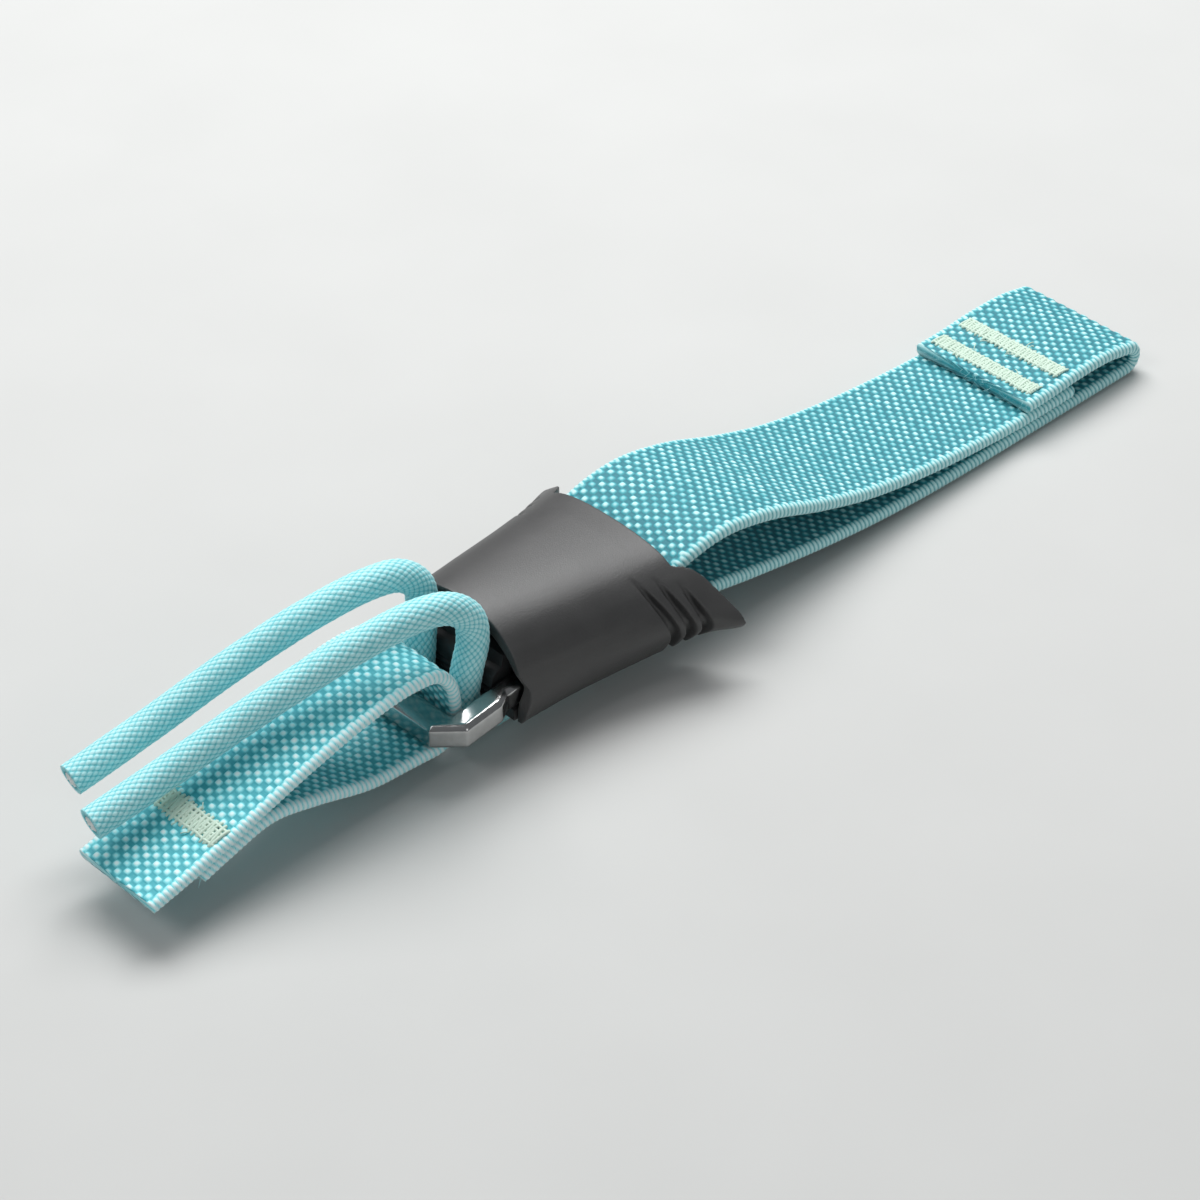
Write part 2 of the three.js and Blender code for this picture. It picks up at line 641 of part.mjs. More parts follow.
// From the cut end on top, round the finger loop, forward along the lower strand to the pin, and
// back along the upper strand to its end between the two layers of the finger loop.
function anchorWebbing() {
  const topLayer = smoothLine(
    [[56.6, 0.3], [60, 0.36], [64, 0.62], [69, 0.55], [FOLD_X, FOLD_TOP_Z]],
    8,
  );
  const foldCentre = [FOLD_X, (FOLD_TOP_Z + FOLD_LOW_Z) / 2];
  const foldR = (FOLD_TOP_Z - FOLD_LOW_Z) / 2;
  const fold = arc(foldCentre, foldR, Math.PI / 2, -Math.PI, 8).slice(1, -1);
  const bottomLayer = [[FOLD_X, FOLD_LOW_Z], [64, FOLD_LOW_Z], [56, FOLD_LOW_Z]];
  const lowerStrand = smoothLine(
    [
      [49, FOLD_LOW_Z], [42, -2.32], [34, -1.75], [26, -0.75], [18, 0.6], [11, 1.9],
      [PIN_X, PIN_Z - WEB_R],
    ],
    20,
  );
  const wrap = arc([PIN_X, PIN_Z], WEB_R, -Math.PI / 2, -Math.PI, 12).slice(1, -1);
  const upperStrand = smoothLine(
    [
      [PIN_X, PIN_Z + WEB_R],
      [9.5, 6.95], [14, 7.4], [20, 6.2], [27, 3.6], [34, 1.5], [42, 0.1], [50, -0.7],
      [56, -1.05], [63.5, -1.05],
    ],
    34,
  );
  const line = [...topLayer, ...fold, ...bottomLayer, ...lowerStrand, ...wrap, ...upperStrand];
  return strip(line, WEB_T, WEB_W)
    .subtract(barTack(WEB_TACK_FRONT, TACK_GAP))
    .subtract(barTack(WEB_TACK_REAR, TACK_GAP));
}

// ---- materials ----
const material = (settings) => new THREE.MeshStandardMaterial({ metalness: 0, ...settings });
const materials = {
  plastic: material({ color: 0x1d1d1f, roughness: 0.5 }),
  inner: material({ color: 0x202022, roughness: 0.6 }),
  acetal: material({ color: 0x303033, roughness: 0.45 }),
  zinc: material({ color: 0xb4b6b6, roughness: 0.25, metalness: 1 }),
  steel: material({ color: 0xc2c4c6, roughness: 0.3, metalness: 1 }),
  cord: material({ color: 0x5cc0cc, roughness: 0.85 }),
  core: material({ color: 0xe8eeec, roughness: 0.9 }),
  webbing: material({ color: 0x58bccb, roughness: 0.85 }),
  anchorWebbing: material({ color: 0x3d94a6, roughness: 0.85 }),
  thread: material({ color: 0xb9d6bd, roughness: 0.9 }),
};

// ---- assembly ----
const assembly = new THREE.Group();
function put(name, shape, finish) {
  const mesh = new THREE.Mesh(geometryOf(shape), finish);
  mesh.name = name;
  assembly.add(mesh);
}

put("upper_shell", upperShell(), materials.plastic);
put("lower_shell", lowerShell(), materials.inner);
put("anchor_pin", anchorPin(), materials.steel);
put("pull_ring", pullRing(), materials.zinc);
put("spring_yoke", springYoke(), materials.acetal);
put("return_spring_left", returnSpring(1), materials.steel);
put("return_spring_right", returnSpring(-1), materials.steel);
for (const [name, side, tail] of [["cord_left", 1, LEFT_TAIL], ["cord_right", -1, RIGHT_TAIL]]) {
  const path = cordPath(side, tail);
  put(`${name}_sheath`, cordSheath(path), materials.cord);
  put(`${name}_core`, cordCore(path), materials.core);
}
put("pull_tab_webbing", pullTab(), materials.webbing);
put("pull_tab_bartack", barTack(TAB_TACK), materials.thread);
put("anchor_webbing", anchorWebbing(), materials.anchorWebbing);
put("anchor_bartack_front", barTack(WEB_TACK_FRONT), materials.thread);
put("anchor_bartack_rear", barTack(WEB_TACK_REAR), materials.thread);

export default assembly;
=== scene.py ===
"""Looks of a pull-release cord lock: moulded sleeve, plated ring, braided cords, woven straps, bar tacks.

x runs along the lock, y across it, z up. The sleeve's mouth faces -x, where the ring, its pull tab and
the two cords are; the anchor strap loops round a pin in the tail and runs off towards +x.
Pieces are built in millimetres, in the frame of the CAD model, and scaled to metres.
"""

import math

import bmesh
import bpy
import numpy as np
from mathutils import Matrix, Vector

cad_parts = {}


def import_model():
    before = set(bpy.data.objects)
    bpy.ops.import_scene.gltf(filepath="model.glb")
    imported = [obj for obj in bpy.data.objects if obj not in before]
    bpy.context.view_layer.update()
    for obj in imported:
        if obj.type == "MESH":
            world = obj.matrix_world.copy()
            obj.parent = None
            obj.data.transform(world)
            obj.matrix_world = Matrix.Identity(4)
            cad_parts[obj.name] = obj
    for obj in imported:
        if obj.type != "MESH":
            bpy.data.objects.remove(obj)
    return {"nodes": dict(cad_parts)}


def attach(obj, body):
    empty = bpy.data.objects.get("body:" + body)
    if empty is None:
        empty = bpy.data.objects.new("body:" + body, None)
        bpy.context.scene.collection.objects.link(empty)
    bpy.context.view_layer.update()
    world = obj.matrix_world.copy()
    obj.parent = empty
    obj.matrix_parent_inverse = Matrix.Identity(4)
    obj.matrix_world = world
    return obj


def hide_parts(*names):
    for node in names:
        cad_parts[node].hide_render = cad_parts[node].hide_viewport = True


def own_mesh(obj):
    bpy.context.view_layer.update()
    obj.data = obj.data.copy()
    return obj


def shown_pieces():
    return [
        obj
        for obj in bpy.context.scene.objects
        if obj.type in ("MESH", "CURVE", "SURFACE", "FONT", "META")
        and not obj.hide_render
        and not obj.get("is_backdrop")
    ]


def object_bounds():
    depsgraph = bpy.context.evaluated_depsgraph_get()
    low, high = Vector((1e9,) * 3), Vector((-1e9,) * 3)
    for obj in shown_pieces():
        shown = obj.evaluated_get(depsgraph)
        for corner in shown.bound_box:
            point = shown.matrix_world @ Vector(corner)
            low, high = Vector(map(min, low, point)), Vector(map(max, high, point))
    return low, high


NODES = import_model()["nodes"]
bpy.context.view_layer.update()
MM = 0.001

# ---------------------------------------------------------------- dimensions shared by pieces (mm)
MOUTH_X, TAIL_X = -12.0, 10.6
PIN_X, PIN_Z, PIN_R = 6.6, 4.0, 1.2

# the ring's cross bar, which carries the pull tab; the ring slopes by RING_SLOPE about RING_HINGE_X
BAR_OUTER_X, BAR_WIDTH = -20.6, 2.6
RING_Z, RING_THICK = 1.3, 2.6
RING_SLOPE, RING_HINGE_X = 0.12, -12.2
BAR_X = BAR_OUTER_X + BAR_WIDTH / 2
BAR_Z = RING_Z + RING_THICK / 2 + RING_SLOPE * (BAR_X - RING_HINGE_X)

# straps: width, thickness, and (x, z) of the cut end
TAB_WIDTH, TAB_THICK, TAB_CUT = 10.0, 1.15, (-45.6, 1.0)
WEB_WIDTH, WEB_THICK, WEB_CUT = 15.0, 1.3, (56.6, 0.3)

CORD_R, CORE_R = 1.5, 0.8
CORD_X, CORD_Y = -14.62, 2.95  # where the cords rise in front of the mouth


# ---------------------------------------------------------------- mesh helpers
def mesh_from(name, verts, faces, smooth=True, attrs=None, scale=MM):
    """Object from verts (N, 3) and a list of face arrays, each (M, 3) or (M, 4)."""
    verts = np.asarray(verts, np.float64) * scale
    mesh = bpy.data.meshes.new(name)
    loops = np.concatenate([np.asarray(f, np.int32).ravel() for f in faces])
    sizes = np.concatenate([np.full(len(f), f.shape[1], np.int32) for f in faces])
    starts = np.concatenate([[0], np.cumsum(sizes)[:-1]]).astype(np.int32)
    mesh.vertices.add(len(verts))
    mesh.vertices.foreach_set("co", verts.astype(np.float32).ravel())
    mesh.loops.add(len(loops))
    mesh.loops.foreach_set("vertex_index", loops)
    mesh.polygons.add(len(sizes))
    mesh.polygons.foreach_set("loop_start", starts)
    mesh.polygons.foreach_set("loop_total", sizes)
    mesh.update(calc_edges=True)
    mesh.validate()
    if smooth:
        mesh.polygons.foreach_set("use_smooth", np.ones(len(mesh.polygons), bool))
    for key, values in (attrs or {}).items():
        attribute = mesh.attributes.new(key, "FLOAT", "POINT")
        attribute.data.foreach_set("value", np.asarray(values, np.float32).ravel())
    ob = bpy.data.objects.new(name, mesh)
    bpy.context.scene.collection.objects.link(ob)
    return ob


def ring_indices(cols):
    """Index of each vertex round a ring, and of its neighbour."""
    j = np.arange(cols)
    return j, (j + 1) % cols


def grid_faces(rows, cols):
    """Quads of a (rows, cols) grid of vertices, closed along cols."""
    i = np.arange(rows - 1)[:, None] * cols
    j, k = ring_indices(cols)
    corners = np.broadcast_arrays(i + j, i + k, i + cols + k, i + cols + j)
    return np.stack(corners, -1).reshape(-1, 4)


def end_caps(rows, cols):
    """Triangle fans over both ends of a grid whose two centre vertices follow it."""
    j, k = ring_indices(cols)
    last = (rows - 1) * cols
    centre = np.full(cols, rows * cols)
    return [
        np.stack([k, j, centre], 1),
        np.stack([last + j, last + k, centre + 1], 1),
    ]


def smooth_shade(ob):
    ob.data.polygons.foreach_set("use_smooth", np.ones(len(ob.data.polygons), bool))


def fix_normals(ob):
    bm = bmesh.new()
    bm.from_mesh(ob.data)
    bmesh.ops.recalc_face_normals(bm, faces=bm.faces)
    if bm.calc_volume(signed=True) < 0:
        bmesh.ops.reverse_faces(bm, faces=bm.faces)
    bm.to_mesh(ob.data)
    bm.free()


def apply_modifiers(ob):
    depsgraph = bpy.context.evaluated_depsgraph_get()
    mesh = bpy.data.meshes.new_from_object(ob.evaluated_get(depsgraph))
    old = ob.data
    ob.modifiers.clear()
    ob.data = mesh
    if old.users == 0:
        bpy.data.meshes.remove(old)


def cut_away(ob, cutters):
    """Subtract each cutter from ob and delete it."""
    for cutter in cutters:
        modifier = ob.modifiers.new("cut", "BOOLEAN")
        modifier.operation = "DIFFERENCE"
        modifier.solver = "EXACT"
        modifier.object = cutter
        apply_modifiers(ob)
        mesh = cutter.data
        bpy.data.objects.remove(cutter)
        if mesh.users == 0:
            bpy.data.meshes.remove(mesh)


def remesh(ob, voxel, smooths):
    """Rebuild from voxels, then soften the edges with `smooths` passes."""
    voxels = ob.modifiers.new("voxels", "REMESH")
    voxels.mode = "VOXEL"
    voxels.voxel_size = voxel
    voxels.adaptivity = 0.0
    if smooths:
        soften = ob.modifiers.new("soften", "SMOOTH")
        soften.factor = 0.5
        soften.iterations = smooths
    apply_modifiers(ob)
    smooth_shade(ob)


def rescale(ob, factor):
    ob.data.transform(Matrix.Scale(factor, 4))
    ob.data.update()


# ---------------------------------------------------------------- cutters
def box(xs, ys, zs):
    """Box between a (low, high) pair on each axis."""
    verts = [(x, y, z) for x in xs for y in ys for z in zs]
    faces = [(0, 1, 3, 2), (4, 6, 7, 5), (0, 4, 5, 1), (2, 3, 7, 6), (0, 2, 6, 4), (1, 5, 7, 3)]
    ob = mesh_from("cutter", verts, [np.array(faces)], smooth=False, scale=1.0)
    fix_normals(ob)
    return ob


def cylinder_across(x, z, radius, ys, sides=48):
    """Cylinder along y between the two ys."""
    angle = np.linspace(0, 2 * np.pi, sides, endpoint=False)
    rim_x, rim_z = x + radius * np.cos(angle), z - radius * np.sin(angle)
    rims = [np.stack([rim_x, np.full(sides, y), rim_z], 1) for y in ys]
    verts = np.vstack([*rims, [(x, y, z) for y in ys]])
    faces = [grid_faces(2, sides), *end_caps(2, sides)]
    ob = mesh_from("cutter", verts, faces, smooth=False, scale=1.0)
    fix_normals(ob)
    return ob


def prism(outline, z0, z1):
    """Upright prism over an (x, y) outline."""
    n = len(outline)
    bm = bmesh.new()
    verts = [bm.verts.new((x, y, z)) for z in (z0, z1) for x, y in outline]
    bm.faces.new(verts[:n][::-1])
    bm.faces.new(verts[n:])
    for i in range(n):
        j = (i + 1) % n
        bm.faces.new((verts[i], verts[j], verts[n + j], verts[n + i]))
    bmesh.ops.recalc_face_normals(bm, faces=bm.faces)
    mesh = bpy.data.meshes.new("cutter")
    bm.to_mesh(mesh)
    bm.free()
    ob = bpy.data.objects.new("cutter", mesh)
    bpy.context.scene.collection.objects.link(ob)
    return ob


# ---------------------------------------------------------------- curves
def length_along(line):
    return np.concatenate([[0], np.cumsum(np.linalg.norm(np.diff(line, axis=0), axis=1))])


def respace(line, spacing):
    """The same polyline with evenly spaced points, about `spacing` apart."""
    length = length_along(line)
    count = max(2, int(round(length[-1] / spacing)) + 1)
    even = np.linspace(0, length[-1], count)
    return np.stack([np.interp(even, length, column) for column in line.T], 1)


def curve_span(points, knots, samples=60):
    """Middle span of a Catmull-Rom curve through four points at four knots."""
    t = np.linspace(knots[1], knots[2], samples, endpoint=False)[:, None]

    def blend(a, b, i, j):
        gap = knots[j] - knots[i]
        return (knots[j] - t) / gap * a + (t - knots[i]) / gap * b

    first, middle, last = (blend(points[i], points[i + 1], i, i + 1) for i in range(3))
    return blend(blend(first, middle, 0, 2), blend(middle, last, 1, 3), 1, 2)


def centripetal(points, spacing):
    """Centripetal Catmull-Rom through points (K, D), evenly respaced."""
    points = np.asarray(points, float)
    spans = len(points) - 1
    before, after = 2 * points[0] - points[1], 2 * points[-1] - points[-2]
    extended = np.vstack([before, points, after])
    curve = []
    for i in range(spans):
        four = extended[i : i + 4]
        gaps = [max(np.linalg.norm(b - a), 1e-4) ** 0.5 for a, b in zip(four, four[1:])]
        if i == 0:
            gaps[0] = gaps[1]
        if i == spans - 1:
            gaps[2] = gaps[1]
        curve.append(curve_span(four, np.cumsum([0.0, *gaps])))
    curve.append(points[-1:])
    return respace(np.vstack(curve), spacing)


def arc(x, z, radius, angles):
    return np.stack([x + radius * np.cos(angles), z + radius * np.sin(angles)], 1)


def frames_along(path):
    """Tangents, rotation-minimising normals and binormals along a path."""
    tangent = np.gradient(path, axis=0)
    tangent /= np.linalg.norm(tangent, axis=1, keepdims=True)
    normal = np.zeros_like(path)
    start = np.cross(tangent[0], [0, 1.0, 0])
    normal[0] = start / np.linalg.norm(start)
    for i in range(1, len(path)):
        turned = normal[i - 1] - tangent[i] * (normal[i - 1] @ tangent[i])
        normal[i] = turned / np.linalg.norm(turned)
    return tangent, normal, np.cross(tangent, normal)


# ---------------------------------------------------------------- shaping functions
def smoothstep(value):
    t = np.clip(value, 0, 1)
    return t * t * (3 - 2 * t)


def dome(offset):
    """Height of a unit semicircle at an offset from its middle, 0 outside it."""
    return np.sqrt(np.clip(1 - offset**2, 0, 1))


def hash01(*keys):
    """Repeatable pseudo-random numbers in 0..1 from whole-number arrays."""
    mixed = sum(np.asarray(k, np.float64) * (12.9898 + 65.233 * i) for i, k in enumerate(keys))
    return np.mod(np.sin(mixed + 3.7) * 43758.5453, 1.0)


def wave_noise(x, seed):
    """Smooth 1-D noise, about -1..1."""
    rng = np.random.default_rng(seed)
    total = np.zeros_like(x, float)
    for i in range(3):
        total += rng.uniform(0.4, 1.0) * np.sin(x * (1.7**i) + rng.uniform(0, 6.28)) / (i + 1)
    return total / 1.4


# ---------------------------------------------------------------- sleeve (upper shell)
# stations along x, each with a half section of (y, z) points from the crown down to the foot
OUTER = [
    (MOUTH_X, [[0, 9.9], [2.7, 9.6], [4.9, 8.7], [6.4, 7.4], [7.2, 6.1], [7.6, 5.0],
               [7.9, 4.0], [8.15, 3.0], [8.25, 2.0], [8.1, 0.8], [7.7, 0]]),
    (-6.4, [[0, 9.65], [2.95, 9.4], [5.35, 8.6], [7.05, 7.25], [7.9, 5.9], [8.25, 4.9],
            [8.5, 3.9], [8.6, 2.9], [8.55, 1.9], [8.3, 0.8], [7.85, 0]]),
    (-0.8, [[0, 9.4], [3.2, 9.2], [5.8, 8.45], [7.6, 7.2], [8.6, 5.9], [9.1, 4.8],
            [9.4, 3.8], [9.5, 2.8], [9.35, 1.9], [8.95, 0.8], [8.4, 0]]),
    (3.8, [[0, 9.2], [3.5, 9.0], [6.2, 8.35], [8.1, 7.2], [9.25, 6.0], [10.0, 5.0],
           [10.45, 4.0], [10.55, 3.1], [10.3, 2.1], [9.7, 1.0], [9.0, 0]]),
    (7.4, [[0, 9.0], [3.7, 8.85], [6.5, 8.3], [8.45, 7.2], [9.9, 6.0], [11.0, 4.8],
           [11.75, 3.8], [11.85, 2.9], [11.4, 1.9], [10.5, 0.9], [9.6, 0]]),
    (TAIL_X, [[0, 8.9], [3.8, 8.75], [6.6, 8.15], [8.6, 6.95], [10.4, 5.5], [12.0, 4.2],
              [13.2, 3.0], [13.5, 2.1], [12.7, 1.3], [11.3, 0.6], [10.0, 0.0]]),
]
CAVITY = [
    (-12.9, [[0, 8.55], [2.3, 8.25], [4.2, 7.5], [5.55, 6.5], [6.4, 5.55], [6.9, 4.75],
             [7.18, 4.1], [7.18, 2.0], [7.18, -1]]),
    (-6.4, [[0, 8.3], [2.6, 8.05], [4.8, 7.45], [6.2, 6.4], [6.95, 5.35], [7.3, 4.6],
            [7.4, 4.0], [7.4, 2.0], [7.4, -1]]),
    (-0.8, [[0, 8.1], [2.9, 7.95], [5.4, 7.4], [6.9, 6.45], [7.6, 5.4], [7.85, 4.6],
            [7.9, 4.0], [7.9, 2.0], [7.9, -1]]),
    (3.8, [[0, 7.9], [3.6, 7.85], [6.3, 7.5], [7.5, 6.9], [8.0, 5.9], [8.05, 4.8],
           [8.05, 4.0], [8.05, 2.0], [8.05, -1]]),
    (11, [[0, 7.8], [3.6, 7.75], [6.4, 7.5], [7.6, 6.9], [8.05, 6.0], [8.05, 4.8],
          [8.05, 4.0], [8.05, 2.0], [8.05, -1]]),
]
# grooves: x and height where each starts on the shoulder, x at the foot, depth
GROOVES = [(2.2, 8.0, 4.75, 0.76), (4.2, 7.45, 6.2, 0.82), (6.1, 6.7, 7.65, 0.82)]
# cutter outline (x, y) behind the +y half of the tail: across the roof, round the shoulder
# and back along the wing, closed well clear of the sleeve
REAR_EDGE = [
    (6.5, -0.3), (6.5, 7.65), (6.95, 7.9), (7.5, 8.15), (8.15, 8.65), (8.85, 9.6),
    (9.4, 10.9), (10.1, 12.6), (10.9, 15), (13, 15), (13, -0.3),
]
PIN_SLOT_R, PIN_SLOT_Y = 1.25, (7.9, 8.6)


def catmull(p0, p1, p2, p3, t):
    return 0.5 * (
        2 * p1 + (p2 - p0) * t
        + (2 * p0 - 5 * p1 + 4 * p2 - p3) * t**2
        + (3 * p1 - p0 - 3 * p2 + p3) * t**3
    )


def half_profile(table, x, per):
    """Smooth half section at x, with `per` points to each span of the table."""
    stations = [station for station, _ in table]
    i = 0
    while i < len(stations) - 2 and x > stations[i + 1]:
        i += 1
    t = min(1.0, max(0.0, (x - stations[i]) / (stations[i + 1] - stations[i])))
    nearby = [np.clip(k, 0, len(table) - 1) for k in range(i - 1, i + 3)]
    section = catmull(*(np.array(table[k][1], float) for k in nearby), t)
    last = len(section) - 1
    points = []
    for j in range(last):
        # mirrored across the crown, so the roof is smooth there
        before = section[j - 1] if j else section[1] * [-1, 1]
        after = section[min(last, j + 2)]
        for step in range(per):
            points.append(catmull(before, section[j], section[j + 1], after, step / per))
    points.append(section[-1])
    points = np.array(points)
    points[0][0] = 0
    return points


def loft(name, table, x0, x1, steps, per, reshape=None):
    """Closed solid through a table's sections, mirrored in y."""
    rings = []
    for i in range(steps + 1):
        x = x0 + (x1 - x0) * i / steps
        half = half_profile(table, x, per)
        ring = np.vstack([half[::-1], half[1:] * [-1, 1]])
        rings.append(np.column_stack([np.full(len(ring), x), ring]))
    grid = np.array(rings)
    rows, cols = grid.shape[:2]
    if reshape is not None:
        grid = reshape(grid)
    verts = np.vstack([grid.reshape(-1, 3), grid[0].mean(0), grid[-1].mean(0)])
    front, back = end_caps(rows, cols)
    front = np.roll(front, -1, axis=1)  # same triangles, each started at its second corner
    ob = mesh_from(name, verts, [grid_faces(rows, cols), front, back], scale=1.0)
    fix_normals(ob)
    return ob


def groove_depth(x, y, z):
    """Three crescent grooves a side: thin on the shoulder, wider and deeper down the flank."""
    depth = np.zeros_like(x)
    on_flank = np.clip((np.abs(y) - 5.0) / 1.5, 0, 1)
    for x_top, z_top, x_foot, deep in GROOVES:
        rise = np.clip(z / z_top, 0, 1.35)
        centre = x_foot - (x_foot - x_top) * rise**1.7
        fade = smoothstep((z_top + 0.25 - z) / 2.6)
        width = 0.22 + 0.22 * np.clip((z_top - z) / 2.6, 0, 1)
        offset = (x - centre) / width
        # the wall on the +x side is steeper
        offset = np.where(offset > 0, offset * 1.25, -offset * 0.85)
        cut = np.clip(1.22 - offset**3.4, 0, 1)
        depth = np.maximum(depth, cut * deep * fade * on_flank)
    return depth


def shape_skin(grid):
    """Grooves, and a mouth whose rim is scooped back above a small foot."""
    x, y, z = grid[..., 0], grid[..., 1], grid[..., 2]
    # normals in the section plane, from the neighbours round the ring
    tangent = (np.roll(grid, -1, axis=1) - np.roll(grid, 1, axis=1))[..., 1:]
    tangent = tangent / np.maximum(np.linalg.norm(tangent, axis=-1, keepdims=True), 1e-9)
    depth = groove_depth(x, y, z)
    shaped = grid.copy()
    shaped[..., 1] -= tangent[..., 1] * depth
    shaped[..., 2] += tangent[..., 0] * depth
    near_mouth = smoothstep((-7.5 - x) / 4.5)
    scoop = 0.75 * np.exp(-(((z - 3.1) / 1.35) ** 2))
    foot = 0.10 * np.exp(-(((z - 0.4) / 0.9) ** 2))
    shaped[..., 0] += near_mouth * (scoop - foot)
    # flare the rim out a touch low down
    flare = np.exp(-(((z - 1.2) / 1.1) ** 2)) * np.clip((-10.4 - x) / 1.6, 0, 1) ** 2
    shaped[..., 1] += np.sign(y) * 0.18 * flare
    return shaped


def build_sleeve():
    skin = loft("upper_shell_moulded", OUTER, MOUTH_X, TAIL_X, steps=300, per=14, reshape=shape_skin)
    cuts = [loft("cavity", CAVITY, CAVITY[0][0], CAVITY[-1][0], steps=60, per=8)]
    for side in (1, -1):
        cuts.append(prism([(x, y * side) for x, y in REAR_EDGE], -1, 12))
        # a slot for the pin end, open at the foot and round at the top
        slot_y = sorted(side * y for y in PIN_SLOT_Y)
        cuts.append(box((PIN_X - PIN_SLOT_R, PIN_X + PIN_SLOT_R), slot_y, (-1, PIN_Z)))
        cuts.append(cylinder_across(PIN_X, PIN_Z, PIN_SLOT_R, slot_y))
    voxel = 0.085
    remesh(skin, voxel, smooths=0)
    cut_away(skin, cuts)
    remesh(skin, voxel, smooths=7)
    rescale(skin, MM)
    return skin


# ---------------------------------------------------------------- woven straps
def plain_weave(along, across, float_pitch, yarn_pitch, seed):
    """Height, about 0..1, of a warp-faced plain weave."""
    column = np.floor(across / yarn_pitch)
    yarn_part = across / yarn_pitch - column
    drift = 0.05 * wave_noise(across * 1.3, seed + 5)
    position = along / float_pitch + np.mod(column, 2) * 0.5 + drift
    row = np.floor(position)
    float_part = position - row

    def vary(key):
        return hash01(column, row, key) - 0.5

    # each warp float is a short rounded grain, then a dip where it dives under the next weft
    height = 0.86 + 0.34 * vary(seed)
    shift = 0.10 * vary(seed + 7.0)
    half_length = 0.29 + 0.06 * vary(seed + 3.0)
    crown = dome(2 * yarn_part - 1)
    grain = dome(np.abs(float_part - 0.5 - shift) / half_length)
    warp = height * grain * (0.12 + 0.88 * crown**1.2)
    weft = 0.14 * np.clip(np.cos(np.pi * float_part) ** 2, 0, 1) * (0.6 + 0.4 * crown)
    return np.clip(np.maximum(warp, weft), 0, 1.1)


def strap(name, line, width, thick, float_pitch, yarn_pitch, seed, relief, step=0.13):
    """A strap along line (K, 2) of x, z: rounded selvedges, weave relief on both faces."""
    line = respace(line, step)
    rows = len(line)
    tangent = np.gradient(line, axis=0)
    tangent /= np.linalg.norm(tangent, axis=1, keepdims=True)
    half = width / 2
    half_thick = thick / 2 - relief * 0.55
    flat = half - half_thick * 0.9
    face = np.linspace(-flat, flat, int(2 * flat / step))
    turn = np.linspace(-np.pi / 2, np.pi / 2, 9)[1:-1]
    # closed section: top from -y to +y, round the +y edge, back along the bottom, round the -y edge
    round_edge = flat + (half - flat) * np.cos(turn)
    section_y = np.concatenate([face, round_edge[::-1], face[::-1], -round_edge])
    one = np.ones(len(face))
    section_up = np.concatenate([one, np.sin(turn[::-1]), -one, np.sin(turn)])
    cols = len(section_y)
    along, across = np.meshgrid(length_along(line), section_y, indexing="ij")
    up = np.broadcast_to(section_up, along.shape)

    wandering = across + 0.06 * wave_noise(along * 0.7, seed)
    # the lower face is shifted half a yarn
    yarn_across = np.where(up >= 0, wandering, wandering + yarn_pitch * 0.5) + 50 * yarn_pitch
    weave = plain_weave(along, yarn_across, float_pitch, yarn_pitch, seed)
    # selvedge: a rounded cord of yarn along each edge with slanting loops
    edge = np.clip((np.abs(across) - (half - 0.75)) / 0.35, 0, 1)
    loops = 0.35 + 0.65 * np.abs(np.sin(np.pi * (along / (float_pitch * 0.5) + 0.35 * up)))
    weave = weave * (1 - edge) + loops * edge
    on_face = np.abs(up) > 0.99
    fall = np.where(on_face, 1.0, 0.75)
    height = half_thick * np.sign(up) * np.abs(up) ** 0.9 + (weave * relief * fall) * up
    bulge = np.sign(across) * (weave - 0.5) * relief * dome(up)
    grid = np.stack([
        line[:, :1] - tangent[:, 1:] * height,
        across + np.where(np.abs(up) < 0.99, bulge, 0),
        line[:, 1:] + tangent[:, :1] * height,
    ], -1)
    verts = np.vstack([grid.reshape(-1, 3), grid[0].mean(0), grid[-1].mean(0)])
    # each attribute ends with a value for the two cap centres
    attrs = {
        # relief also sets the yarn colour: painted shade in the hollows, painted highlight on the crowns
        "relief": np.append(weave, [0.4] * 2),
        "along": np.append(along, [0.0] * 2),
        "across": np.append(across, [0.0] * 2),
        "tone": np.append(hash01(np.floor((wandering + 50) / yarn_pitch), seed), [0.5] * 2),
    }
    ob = mesh_from(name, verts, [grid_faces(rows, cols), *end_caps(rows, cols)], attrs=attrs)
    fix_normals(ob)
    smooth_shade(ob)
    return ob


def tab_line():
    """Pull tab in (x, z): in along the top, round the ring's bar, back out underneath."""
    radius = 1.75 + TAB_THICK / 2
    inner_x = BAR_X + radius
    upper = centripetal([
        [-51, 0.9], [-46, 2.1], [-40, 3.9], [-33, 6.0], [-27, 7.4], [-22, 7.9],
        [BAR_X + 0.5, 7.3], [inner_x - 0.45, 5.6], [inner_x, BAR_Z + 1.3], [inner_x, BAR_Z],
    ], 0.1)
    wrap = arc(BAR_X, BAR_Z, radius, -(np.pi / 2) * 1.08 * np.arange(1, 33) / 32)
    lower = centripetal([
        wrap[-1], [BAR_X - 3.2, BAR_Z - radius + 0.25], [-27, 0.1], [-33, 1.9],
        [-38, 2.95], [-43, 1.8], TAB_CUT,
    ], 0.1)
    return np.vstack([upper, wrap, lower[1:]])


